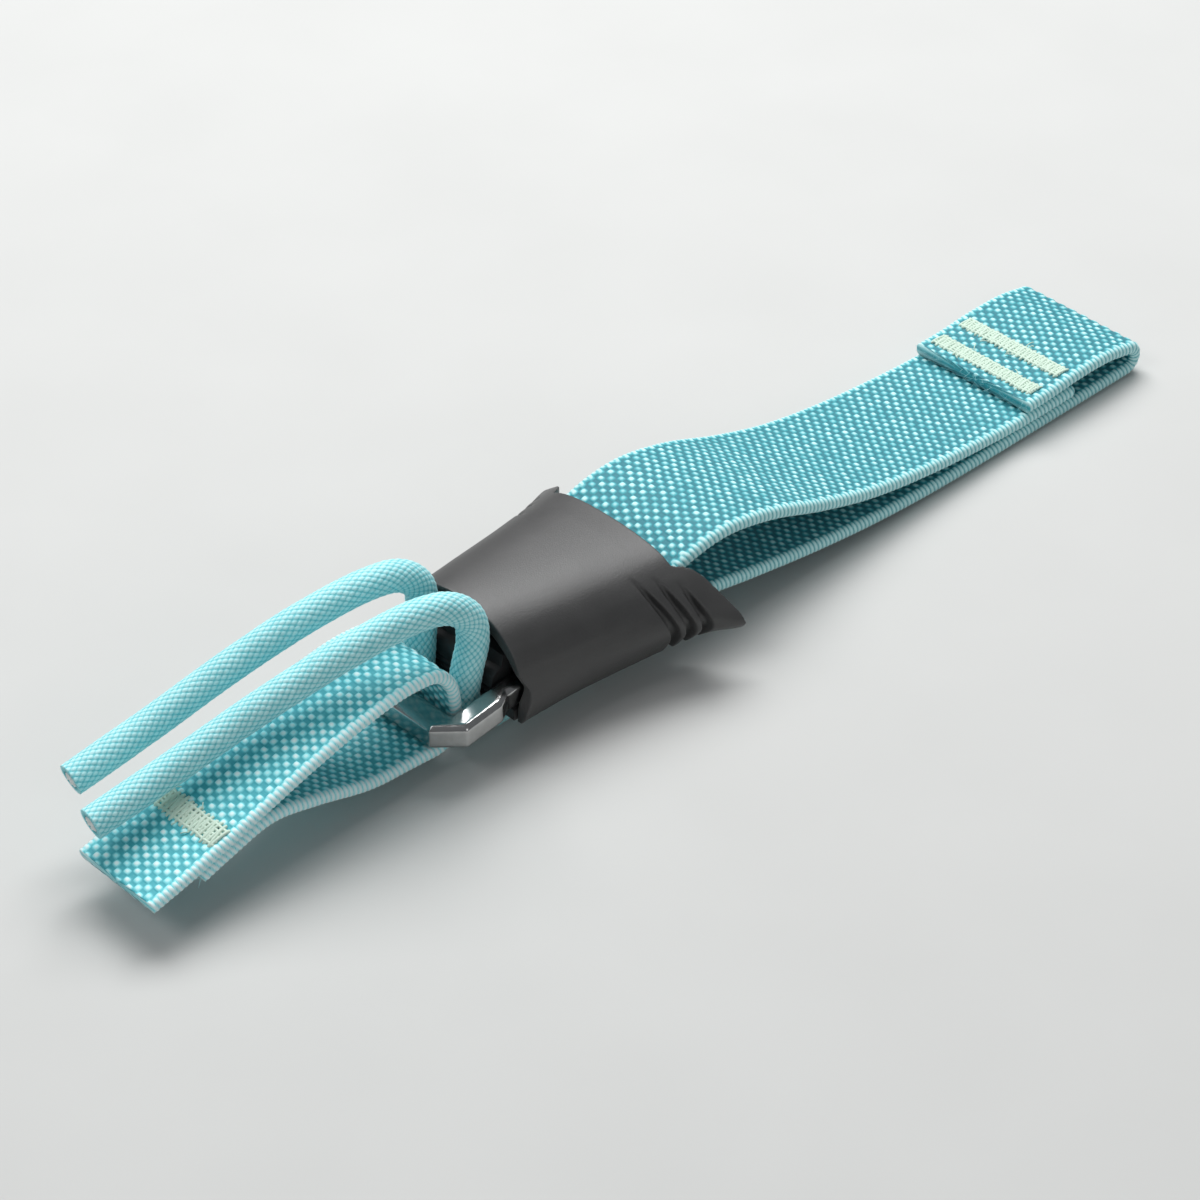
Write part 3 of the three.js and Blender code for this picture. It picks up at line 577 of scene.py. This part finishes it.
def web_line():
    """Anchor strap in (x, z): folded at the +x end, in underneath, round the pin, back on top."""
    radius = PIN_R + 0.08 + WEB_THICK / 2
    fold_x, fold_top, fold_low = 72.2, -0.05, -2.5
    top = centripetal([WEB_CUT, [60, 0.36], [64, 0.62], [69, 0.55], [fold_x, fold_top]], 0.1)
    fold = arc(
        fold_x, (fold_top + fold_low) / 2, (fold_top - fold_low) / 2,
        np.pi / 2 - np.pi * np.arange(1, 16) / 16,
    )
    flat = [[fold_x, fold_low], [64, fold_low], [56, fold_low]]
    lower = centripetal([
        [49, -2.5], [42, -2.32], [34, -1.75], [26, -0.75], [18, 0.6], [11, 1.9],
        [PIN_X, PIN_Z - radius],
    ], 0.1)
    wrap = arc(PIN_X, PIN_Z, radius, -np.pi / 2 - np.pi * np.arange(1, 24) / 24)
    upper = centripetal([
        [PIN_X, PIN_Z + radius], [9.5, 6.95], [14, 7.4], [20, 6.2], [27, 3.6], [34, 1.5],
        [42, 0.1], [50, -0.7], [56, -1.05], [63.5, -1.05],
    ], 0.1)
    return np.vstack([top, fold, flat, lower, wrap, upper])


# ---------------------------------------------------------------- cords
# cord tails towards -x: x, shift in y from the cord's own line, z
LEFT_TAIL = [(-25.5, 1.9, 12.3), (-32.5, 3.6, 9.9), (-40, 5.0, 7.2), (-48.5, 6.0, 5.0)]
RIGHT_TAIL = [(-26, 1.9, 12.0), (-34, 4.0, 9.3), (-42, 5.6, 6.6), (-50.5, 6.6, 4.6)]


def cord_points(y, tail):
    """Along under the housing, up in front of the mouth, over an arch and away along the tail."""
    under = -CORD_R - 0.15
    points = [
        [5.2, y, under], [1, y, under], [-4, y, under], [-9.6, y, under],
        [-12.0, y, under + 0.02], [-13.75, y, -0.9], [-14.55, y, 0.75],
        [CORD_X + 0.1, y, 2.6], [CORD_X + 0.5, y * 1.06, 5.2], [CORD_X + 1.0, y * 1.12, 7.8],
        [CORD_X + 0.65, y * 1.12, 10.4], [CORD_X - 1.4, y * 1.1 + 0.1, 12.5],
        [CORD_X - 4.8, y * 1.06 + 0.4, 13.35],
    ]
    points += [[x, y + shift, z] for x, shift, z in tail]
    return np.array(points, float)


def braided_cord(name, points, seed, carriers=16, pitch=0.84, relief=0.10, cols=128):
    """Braided sheath whose cut ends are hollow round the core."""
    path = centripetal(points, 0.085)
    _, normal, binormal = frames_along(path)
    rows = len(path)
    angles = np.linspace(0, 2 * np.pi, cols, endpoint=False)
    along, around = np.meshgrid(length_along(path), angles, indexing="ij")
    # two sets of yarns wind opposite ways and take turns on top
    first = carriers * around / (2 * np.pi) + along / pitch
    second = carriers * around / (2 * np.pi) - along / pitch
    first_yarn, second_yarn = np.floor(first), np.floor(second)
    first_part, second_part = first - first_yarn, second - second_yarn
    first_on_top = np.mod(first_yarn + second_yarn, 2) < 1
    across_yarn = np.where(first_on_top, first_part, second_part)
    along_yarn = np.where(first_on_top, second_part, first_part)
    first_yarn, second_yarn = np.mod(first_yarn, carriers), np.mod(second_yarn, carriers)
    arch = 0.45 + 0.55 * np.sin(np.pi * along_yarn) ** 0.8
    jitter = 0.9 + 0.2 * hash01(first_yarn, np.floor(along / pitch), seed)
    height = dome(2 * across_yarn - 1) * arch * jitter
    filaments = 0.001 * np.sin(2 * np.pi * 4 * across_yarn)
    radius = CORD_R - relief + relief * height + filaments
    radius = radius * (1 + 0.012 * wave_noise(along * 0.35, seed + 2))
    spokes = (
        np.cos(around)[..., None] * normal[:, None, :]
        + np.sin(around)[..., None] * binormal[:, None, :]
    )
    grid = path[:, None, :] + radius[..., None] * spokes
    # each end steps in to a socket for the core, closed 12 rows down
    j, k = ring_indices(cols)
    faces, sockets = [grid_faces(rows, cols)], []
    for end, bottom in ((0, 12), (rows - 1, rows - 13)):
        outer, start = end * cols, rows * cols + len(sockets)
        for i in (end, bottom):
            sockets += list(path[i] + (CORE_R + 0.06) * spokes[i])
        sockets.append(path[bottom])
        floor = start + cols
        added = [
            np.stack([outer + j, outer + k, start + k, start + j], 1),
            np.stack([start + j, start + k, floor + k, floor + j], 1),
            np.stack([floor + j, floor + k, np.full(cols, floor + cols)], 1),
        ]
        faces += [f[:, ::-1] for f in added] if end == 0 else added
    verts = np.vstack([grid.reshape(-1, 3), sockets])
    pad = np.full(len(sockets), 0.35)
    tone = np.where(first_on_top, hash01(first_yarn, seed), hash01(second_yarn + 20, seed))
    attrs = {
        # relief also sets the sheath colour: painted shade between the yarns, painted highlight on their
        # crowns
        "relief": np.append(0.30 + 0.70 * height, pad),
        "along": np.append(along, pad * 0),
        "tone": np.append(tone, pad),
        "filament": np.append(across_yarn, pad),
    }
    ob = mesh_from(name, verts, faces, attrs=attrs)
    fix_normals(ob)
    smooth_shade(ob)
    return ob


def tubes(name, lines, radius, sides, seed, taper=False):
    """Round threads along lines in one mesh; radius is one value or one for each line."""
    verts, faces, tone, along = [], [], [], []
    base = 0
    radii = np.broadcast_to(radius, len(lines))
    angles = np.linspace(0, 2 * np.pi, sides, endpoint=False)
    cos, sin = np.cos(angles)[None, :, None], np.sin(angles)[None, :, None]
    for i, line in enumerate(lines):
        rows = len(line)
        tangent, normal, binormal = frames_along(line)
        thick = np.full(rows, radii[i])
        if taper:
            thick = thick * np.clip(np.linspace(1.15, 0.45, rows), 0, 1)
        spokes = cos * normal[:, None] + sin * binormal[:, None]
        grid = line[:, None] + thick[:, None, None] * spokes
        start_tip = line[0] - tangent[0] * thick[0] * 0.5
        end_tip = line[-1] + tangent[-1] * thick[-1] * 0.5
        verts.append(np.vstack([grid.reshape(-1, 3), start_tip, end_tip]))
        faces += [base + f for f in (grid_faces(rows, sides), *end_caps(rows, sides))]
        count = rows * sides + 2
        tone.append(np.full(count, (i * 0.37 + 0.11 * seed) % 1.0))
        length = length_along(line)
        along.append(np.concatenate([np.repeat(length, sides), [0, length[-1]]]))
        base += count
    attrs = {
        "tone": np.concatenate(tone),
        "along": np.concatenate(along),
        "relief": np.full(base, 0.7),
    }
    ob = mesh_from(name, np.vstack(verts), faces, attrs=attrs)
    fix_normals(ob)
    smooth_shade(ob)
    return ob


def core_yarns(name, points, seed):
    """The core: a straight strand and six twisted round it, seen at the cut ends."""
    path = centripetal(points, 0.4)
    _, normal, binormal = frames_along(path)
    twist = length_along(path) * 0.55
    lines = [path]
    for i in range(6):
        angle = (2 * np.pi * i / 6 + twist)[:, None]
        lines.append(path + 0.5 * (np.cos(angle) * normal + np.sin(angle) * binormal))
    return tubes(name, lines, radius=0.265, sides=8, seed=seed)


# ---------------------------------------------------------------- springs
SPRING_X0, SPRING_X1 = -11.1, -1.88
SPRING_Y, SPRING_Z, SPRING_R, SPRING_TURNS = 2.8, 3.6, 1.7, 6.5
WIRE_R = 0.23


def helix(side):
    t = np.linspace(0, 1, 420)
    angle = 2 * np.pi * SPRING_TURNS * t * side
    advance = t - 0.45 * np.sin(4 * np.pi * t) / (4 * np.pi)  # uneven pitch
    radius = SPRING_R - WIRE_R
    return np.stack([
        SPRING_X0 + (SPRING_X1 - SPRING_X0) * advance,
        side * SPRING_Y + radius * np.cos(angle),
        SPRING_Z + radius * np.sin(angle),
    ], 1)


# ---------------------------------------------------------------- stitching and fibres
def bar_tack(name, centre, slope, length, width, seed):
    """Threads along the strap packed across its width over five underlay threads along y.

    centre is (x, z) on the strap's face; length runs along the strap, width across it.
    """
    rng = np.random.default_rng(seed)
    cos, sin = math.cos(slope), math.sin(slope)

    def place(along, y, off):
        """off is the height off the strap's face."""
        x = centre[0] + along * cos - off * sin
        return np.stack([x, y, centre[1] + along * sin + off * cos], -1)

    lines = []
    for i in range(5):
        y = np.linspace(-width / 2, width / 2, 44)
        along = (i - 2) * length / 5.6 + 0.05 * wave_noise(y * 2.0, seed + i)
        lines.append(place(along, y, 0.02 + 0.03 * np.sin(y * 5)))
    passes = int(width / 0.27)
    for i in range(passes):
        along = np.linspace(-length / 2, length / 2, 12)
        over = dome(2 * along / length)
        lean = (0.24 if i % 2 else -0.24) * (along / length) * 1.1
        y = -width / 2 + width * (i + 0.5) / passes + lean + rng.normal(0, 0.06)
        stretch = 1 + 0.12 * rng.normal(0, 0.5)
        lines.append(place(along * stretch, y, 0.18 * over - 0.10 + rng.normal(0, 0.012)))
    loose_ends = 4
    for i in range(loose_ends):
        y = rng.uniform(-width / 2, width / 2)
        side = 1 if i % 2 else -1
        t = np.linspace(0, 1, 9)
        reach = rng.uniform(0.5, 1.3)
        lines.append(place(
            length / 2 * side + t * reach * side * rng.uniform(0.3, 0.9),
            y + t * rng.uniform(-0.7, 0.7),
            0.05 + 0.35 * np.sin(t * 2.2) * rng.uniform(0.3, 1),
        ))
    radii = [0.15] * (5 + passes) + [0.05] * loose_ends
    return tubes(name, lines, radii, sides=7, seed=seed)


def cut_end_fibres(name, place_rng, cut, width, z_spread, count, direction, seed):
    """Short stray fibres from a strap's cut end at (x, z)."""
    reach = width / 2 - 0.3
    x, z = cut
    roots = [
        (x, y, z + place_rng.uniform(-z_spread, z_spread))
        for y in place_rng.uniform(-reach, reach, count)
    ]
    rng = np.random.default_rng(seed)
    t = np.linspace(0, 1, 6)[:, None]
    lines = []
    for root in roots:
        heading = np.asarray(direction, float) + rng.normal(0, 0.55, 3)
        heading /= np.linalg.norm(heading)
        bend = rng.normal(0, 0.45, 3)
        length = rng.uniform(0.3, 0.9)
        lines.append(np.asarray(root) + length * (t * heading + 0.5 * t**2 * bend))
    return tubes(name, lines, radius=0.022, sides=5, seed=seed, taper=True)


# ---------------------------------------------------------------- materials
class Shader:
    """A Principled material and short ways to add nodes to it; lengths are in millimetres."""

    def __init__(self, name):
        self.material = bpy.data.materials.new(name)
        self.material.use_nodes = True
        self.tree = self.material.node_tree
        self.tree.nodes.clear()
        output = self.node("OutputMaterial")
        self.bsdf = self.node("BsdfPrincipled")
        self.feed(output.inputs[0], self.bsdf.outputs[0])

    def node(self, kind):
        return self.tree.nodes.new("ShaderNode" + kind)

    def feed(self, socket, source):
        """Give an input a link, a colour or a number."""
        if isinstance(source, bpy.types.NodeSocket):
            self.tree.links.new(source, socket)
        else:
            socket.default_value = (*source, 1) if isinstance(source, tuple) else source

    def surface(self, name, source):
        self.feed(self.bsdf.inputs[name], source)

    def coords(self):
        """Object coordinates in millimetres."""
        source = self.node("TexCoord")
        scaled = self.node("VectorMath")
        scaled.operation = "SCALE"
        scaled.inputs["Scale"].default_value = 1000.0
        self.feed(scaled.inputs[0], source.outputs["Object"])
        return scaled.outputs[0]

    def attribute(self, name):
        node = self.node("Attribute")
        node.attribute_name = name
        return node.outputs["Fac"]

    def noise(self, vector, scale, detail=3.0, rough=0.5):
        node = self.node("TexNoise")
        node.inputs["Scale"].default_value = scale
        node.inputs["Detail"].default_value = detail
        node.inputs["Roughness"].default_value = rough
        self.feed(node.inputs["Vector"], vector)
        return node.outputs["Fac"]

    def math(self, operation, a, b):
        node = self.node("Math")
        node.operation = operation
        self.feed(node.inputs[0], a)
        self.feed(node.inputs[1], b)
        return node.outputs[0]

    def add(self, a, b):
        return self.math("ADD", a, b)

    def multiply(self, a, b):
        return self.math("MULTIPLY", a, b)

    def mix(self, factor, a, b):
        node = self.node("Mix")
        node.data_type = "RGBA"
        inputs = {s.identifier: s for s in node.inputs}
        self.feed(inputs["Factor_Float"], factor)
        self.feed(inputs["A_Color"], a)
        self.feed(inputs["B_Color"], b)
        return {s.identifier: s for s in node.outputs}["Result_Color"]

    def ramp(self, source, stops):
        node = self.node("ValToRGB")
        elements = node.color_ramp.elements
        while len(elements) < len(stops):
            elements.new(0.5)
        for element, (position, colour) in zip(elements, stops):
            element.position = position
            element.color = (*colour, 1)
        self.feed(node.inputs[0], source)
        return node.outputs[0]

    def bump(self, height, strength, distance, under=None):
        """Bump the surface, on top of an earlier bump if one is given."""
        node = self.node("Bump")
        node.inputs["Strength"].default_value = strength
        node.inputs["Distance"].default_value = distance * MM
        self.feed(node.inputs["Height"], height)
        if under is not None:
            self.feed(node.inputs["Normal"], under)
        self.surface("Normal", node.outputs[0])
        return node.outputs[0]


def tinted(colour, factor, lift=0.0):
    return tuple(c * factor + lift for c in colour)


def plastic(name, base, rough, grain, wear_and_highlight):
    """Moulded plastic with a fine grain, and paler edges that are part wear, part painted highlight."""
    shader = Shader(name)
    coords = shader.coords()
    fine = shader.noise(coords, scale=7.0, detail=4.0, rough=0.6)
    cloud = shader.noise(coords, scale=0.35)
    pointiness = shader.node("NewGeometry").outputs["Pointiness"]
    edge = shader.ramp(pointiness, [(0.53, (0, 0, 0)), (0.62, (1, 1, 1))])
    colour = shader.mix(cloud, tinted(base, 0.8), tinted(base, 1.25))
    # pointy edges painted paler: part wear, part painted highlight where the rims catch the light
    worn_and_highlit = shader.multiply(edge, shader.multiply(cloud, wear_and_highlight * 1.6))
    shader.surface("Base Color", shader.mix(worn_and_highlit, colour, tinted(base, 2.1, 0.02)))
    roughness = shader.add(shader.multiply(fine, 0.14), rough - 0.07)
    shader.surface("Roughness", shader.add(roughness, shader.multiply(cloud, 0.06)))
    shader.surface("Specular IOR Level", 0.62)
    grained = shader.bump(fine, strength=grain, distance=0.035)
    ripple = shader.noise(coords, scale=2.2, detail=2.0)
    shader.bump(ripple, strength=0.25, distance=0.02, under=grained)
    return shader.material


def metal(name, base, rough, scratch, dark):
    """Metal with cloudy tone, down to `dark` of its colour, and fine lines along x."""
    shader = Shader(name)
    coords = shader.coords()
    cloud = shader.noise(coords, scale=0.8, detail=4.0, rough=0.6)
    stretch = shader.node("Mapping")
    stretch.inputs["Scale"].default_value = (1.2, 14.0, 14.0)
    shader.feed(stretch.inputs[0], coords)
    lines = shader.noise(stretch.outputs[0], scale=1.6, detail=5.0, rough=0.7)
    shader.surface("Base Color", shader.mix(cloud, tinted(base, dark), base))
    shader.surface("Metallic", 1.0)
    shader.surface("Roughness", shader.add(shader.multiply(lines, 0.16), rough - 0.06))
    shader.bump(lines, strength=scratch, distance=0.01)
    return shader.material


def woven(name, deep, mid, bright, sheen, rough, fibre=26.0):
    """Yarn: colour runs deep to bright with relief, as painted shade in the hollows and painted highlight
    on the crowns, with filaments, tone per yarn and sheen.
    """
    shader = Shader(name)
    coords = shader.coords()
    relief = shader.attribute("relief")
    tone = shader.attribute("tone")
    filaments = shader.noise(coords, scale=fibre, rough=0.65)
    cloud = shader.noise(coords, scale=0.25)
    centred = shader.math("SUBTRACT", filaments, 0.5)
    height = shader.add(relief, shader.multiply(centred, 0.35))
    # painted shade where the yarns dip into hollows, painted highlight on their crowns
    colour = shader.ramp(height, [(0.12, deep), (0.5, mid), (0.9, bright)])
    shade = shader.add(shader.multiply(tone, 0.10), shader.multiply(cloud, 0.18))
    shader.surface("Base Color", shader.mix(shade, colour, tinted(mid, 0.55)))
    shader.surface("Roughness", shader.add(shader.multiply(filaments, 0.2), rough - 0.1))
    shader.surface("Sheen Weight", sheen)
    shader.surface("Sheen Roughness", 0.35)
    shader.surface("Sheen Tint", tuple(min(1, c) for c in tinted(bright, 1.2, 0.15)))
    shader.surface("Specular IOR Level", 0.45)
    shader.bump(filaments, strength=0.5, distance=0.03)
    return shader.material


# by material slot
MATERIALS = {
    "sleeve_plastic": plastic(
        "sleeve_plastic", base=(0.034, 0.034, 0.034), rough=0.43, grain=0.6, wear_and_highlight=0.12),
    "inner_plastic": plastic(
        "inner_plastic", base=(0.018, 0.018, 0.019), rough=0.5, grain=0.4, wear_and_highlight=0.2),
    "yoke_plastic": plastic(
        "yoke_plastic", base=(0.035, 0.035, 0.038), rough=0.42, grain=0.3, wear_and_highlight=0.3),
    "ring_metal": metal(
        "ring_plate", base=(0.52, 0.525, 0.52), rough=0.16, scratch=0.2, dark=0.62),
    "pin_steel": metal(
        "pin_steel", base=(0.62, 0.62, 0.61), rough=0.3, scratch=0.5, dark=0.7),
    "spring_steel": metal(
        "spring_steel", base=(0.6, 0.6, 0.6), rough=0.26, scratch=0.2, dark=0.8),
    "cord_sheath": woven(
        "cord_sheath", deep=(0.012, 0.25, 0.32), mid=(0.11, 0.58, 0.65),
        bright=(0.56, 0.92, 0.94), sheen=0.25, rough=0.6),
    "cord_core": woven(
        "cord_core", deep=(0.45, 0.50, 0.50), mid=(0.72, 0.76, 0.75),
        bright=(0.90, 0.93, 0.92), sheen=0.3, rough=0.8),
    # the tab's yarn colours are painted paler than the anchor strap's, to make up for the shade that
    # falls on the tab
    "tab_webbing": woven(
        "tab_webbing", deep=(0.03, 0.36, 0.43), mid=(0.25, 0.80, 0.86),
        bright=(0.84, 0.99, 0.99), sheen=0.25, rough=0.6),
    "anchor_webbing": woven(
        "anchor_webbing", deep=(0.008, 0.17, 0.22), mid=(0.065, 0.46, 0.52),
        bright=(0.64, 0.95, 0.95), sheen=0.25, rough=0.62),
    "tack_thread": woven(
        "tack_thread", deep=(0.18, 0.30, 0.24), mid=(0.52, 0.70, 0.58),
        bright=(0.74, 0.88, 0.76), sheen=0.4, rough=0.7, fibre=40.0),
}


# ---------------------------------------------------------------- build
def set_material(ob, slot):
    ob.data.materials.clear()
    ob.data.materials.append(MATERIALS[slot])


def put(ob, slot, body, *nodes):
    set_material(ob, slot)
    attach(ob, body)
    if nodes:
        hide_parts(*nodes)


def clean_edges(ob, angle=28.0):
    """Merge the triangulated flats of a CAD mesh and round its sharp edges, by modifiers."""
    flats = ob.modifiers.new("flats", "DECIMATE")
    flats.decimate_type = "DISSOLVE"
    flats.angle_limit = math.radians(1.5)
    edges = ob.modifiers.new("edges", "BEVEL")
    edges.width = 0.12 * MM
    edges.segments = 2
    edges.limit_method = "ANGLE"
    edges.angle_limit = math.radians(angle)
    edges.harden_normals = True
    smooth_shade(ob)
    normals = ob.modifiers.new("normals", "WEIGHTED_NORMAL")
    normals.keep_sharp = True


def copy_in_mm(node, name):
    """A copy of a CAD node, scaled to millimetres for working on."""
    ob = NODES[node].copy()
    ob.data = NODES[node].data.copy()
    ob.name = ob.data.name = name
    bpy.context.scene.collection.objects.link(ob)
    rescale(ob, 1000)
    return ob


put(build_sleeve(), "sleeve_plastic", "housing", "upper_shell")

# the floor: its pin lugs are trimmed to end inside the foot of the sleeve
LUG_END_Y = 8.45
floor_pan = copy_in_mm("lower_shell", "lower_shell_moulded")
lug_trims = [(LUG_END_Y, 14), (-14, -LUG_END_Y)]
cut_away(floor_pan, [box((-20, 20), ys, (-3, 12)) for ys in lug_trims])
rescale(floor_pan, MM)
put(floor_pan, "inner_plastic", "housing", "lower_shell")
clean_edges(floor_pan)

pull_ring = copy_in_mm("pull_ring", "pull_ring_cast")
remesh(pull_ring, 0.1, smooths=16)
rescale(pull_ring, MM)
put(pull_ring, "ring_metal", "slider", "pull_ring")

set_material(NODES["spring_yoke"], "yoke_plastic")
clean_edges(NODES["spring_yoke"])
set_material(NODES["anchor_pin"], "pin_steel")
clean_edges(NODES["anchor_pin"], angle=40.0)

for side, label in ((1, "left"), (-1, "right")):
    spring = f"return_spring_{label}"
    coil = tubes(f"{spring}_coil", [helix(side)], WIRE_R, sides=10, seed=1)
    put(coil, "spring_steel", "housing", spring)
    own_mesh(coil)

tab = strap(
    "pull_tab_woven", tab_line(), TAB_WIDTH, TAB_THICK,
    float_pitch=1.06, yarn_pitch=0.70, seed=3, relief=0.16,
)
put(tab, "tab_webbing", "pull_tab", "pull_tab_webbing")
web = strap(
    "anchor_loop_woven", web_line(), WEB_WIDTH, WEB_THICK,
    float_pitch=1.1, yarn_pitch=0.72, seed=9, relief=0.15,
)
put(web, "anchor_webbing", "anchor_loop", "anchor_webbing")

for label, y, tail, seed in (("left", CORD_Y, LEFT_TAIL, 21), ("right", -CORD_Y, RIGHT_TAIL, 34)):
    points = cord_points(y, tail)
    sheath = braided_cord(f"cord_{label}_braid", points, seed)
    put(sheath, "cord_sheath", "housing", f"cord_{label}_sheath")
    core = core_yarns(f"cord_{label}_core_strands", points, seed)
    put(core, "cord_core", "housing", f"cord_{label}_core")

# CAD node, body, centre (x, z), slope, length, width, seed
TACKS = [
    ("pull_tab_bartack", "pull_tab", (-43.2, 3.55), 0.36, 2.3, 8.6, 5),
    ("anchor_bartack_front", "anchor_loop", (58.6, 1.0), 0.02, 1.9, 12.8, 6),
    ("anchor_bartack_rear", "anchor_loop", (62.6, 1.2), 0.05, 1.9, 12.8, 7),
]
for node, body, *shape in TACKS:
    put(bar_tack(f"{node}_thread", *shape), "tack_thread", body, node)

fibre_rng = np.random.default_rng(5)
tab_fibres = cut_end_fibres(
    "pull_tab_cut_end_fibres", fibre_rng, TAB_CUT, TAB_WIDTH,
    z_spread=0.45, count=46, direction=(-1, 0, -0.4), seed=8,
)
put(tab_fibres, "tab_webbing", "pull_tab")
web_fibres = cut_end_fibres(
    "anchor_cut_end_fibres", fibre_rng, WEB_CUT, WEB_WIDTH,
    z_spread=0.5, count=70, direction=(-1, 0, 0.3), seed=12,
)
put(web_fibres, "anchor_webbing", "anchor_loop")


# ---------------------------------------------------------------- stage, light and camera
def build_floor(half=2500, gap=0.02):
    """A square floor just under the lowest point."""
    shader = Shader("studio_floor")
    tone = shader.noise(shader.coords(), scale=0.05)
    colour = shader.mix(tone, (0.52, 0.525, 0.515), (0.56, 0.565, 0.555))
    shader.surface("Base Color", colour)
    shader.surface("Roughness", 0.85)
    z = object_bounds()[0].z / MM - gap
    verts = [(-half, -half, z), (half, -half, z), (half, half, z), (-half, half, z)]
    ob = mesh_from("floor", verts, [np.array([[0, 1, 2, 3]])])
    ob.data.materials.append(shader.material)
    ob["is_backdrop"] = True


def direction_at(azimuth, elevation):
    """Unit vector out from the lock; azimuth in degrees from -y towards +x."""
    a, e = math.radians(azimuth), math.radians(elevation)
    return Vector((math.sin(a) * math.cos(e), -math.cos(a) * math.cos(e), math.sin(e)))


def look_back(ob, out):
    """Turn a light or camera that lies along `out` to face the lock."""
    ob.rotation_mode = "QUATERNION"
    ob.rotation_quaternion = (-out).to_track_quat("-Z", "Y")


def softbox(name, azimuth, elevation, distance, size, power):
    """Area light aimed at the lock; distance and size in mm, power in watts."""
    light = bpy.data.lights.new(name, "AREA")
    light.shape = "RECTANGLE"
    light.size, light.size_y = size[0] * MM, size[1] * MM
    light.energy = power
    ob = bpy.data.objects.new(name, light)
    out = direction_at(azimuth, elevation)
    ob.location = out * distance * MM
    look_back(ob, out)
    bpy.context.scene.collection.objects.link(ob)


def sampled_points(every=7):
    """Every seventh vertex of the finished pieces."""
    depsgraph = bpy.context.evaluated_depsgraph_get()
    samples = []
    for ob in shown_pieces():
        mesh = ob.evaluated_get(depsgraph).data
        co = np.zeros(len(mesh.vertices) * 3, np.float32)
        mesh.vertices.foreach_get("co", co)
        samples.append(co.reshape(-1, 3)[::every])
    return np.vstack(samples).astype(float)


def middle(values):
    return (values.min() + values.max()) / 2


def larger_extent(a, b):
    return max(a.max() - a.min(), b.max() - b.min())


def build_camera(azimuth, elevation, lens, fill):
    """Camera backed off until the pieces take up `fill` of the picture's width."""
    data = bpy.data.cameras.new("camera")
    camera = bpy.data.objects.new("camera", data)
    bpy.context.scene.collection.objects.link(camera)
    bpy.context.scene.camera = camera
    data.sensor_width = 36.0
    data.lens = lens
    data.clip_start, data.clip_end = 0.01, 20.0
    out = direction_at(azimuth, elevation)
    look_back(camera, out)
    right = camera.rotation_quaternion @ Vector((1, 0, 0))
    up = camera.rotation_quaternion @ Vector((0, 1, 0))

    points = sampled_points()
    across, height, toward = (points @ np.array(axis) for axis in (right, up, out))
    mid_across, mid_height, mid_toward = middle(across), middle(height), middle(toward)
    slope = data.sensor_width / 2 / data.lens * fill
    distance = larger_extent(across, height) / 2 / slope
    # perspective: the near end looks larger, so recentre on what the camera sees
    for _ in range(12):
        depth = mid_toward + distance - toward
        seen_x, seen_y = (across - mid_across) / depth, (height - mid_height) / depth
        mid_across += middle(seen_x) * distance
        mid_height += middle(seen_y) * distance
        distance *= larger_extent(seen_x, seen_y) / 2 / slope
    camera.location = right * mid_across + up * mid_height + out * (mid_toward + distance)


build_floor()

scene = bpy.context.scene
scene.world = bpy.data.worlds.new("studio")
scene.world.use_nodes = True
background = scene.world.node_tree.nodes["Background"]
background.inputs["Color"].default_value = (0.93, 0.96, 1.0, 1)
background.inputs["Strength"].default_value = 0.22

softbox("rear_overhead_softbox", azimuth=140, elevation=58, distance=460, size=(420, 300), power=3.0)
softbox("side_softbox", azimuth=-100, elevation=50, distance=460, size=(200, 160), power=0.35)
softbox("front_fill", azimuth=-20, elevation=30, distance=520, size=(300, 200), power=0.25)
build_camera(azimuth=-44.0, elevation=38.0, lens=110.0, fill=0.90)

scene.view_settings.view_transform = "Standard"
scene.view_settings.look = "None"
scene.view_settings.exposure = 0.0
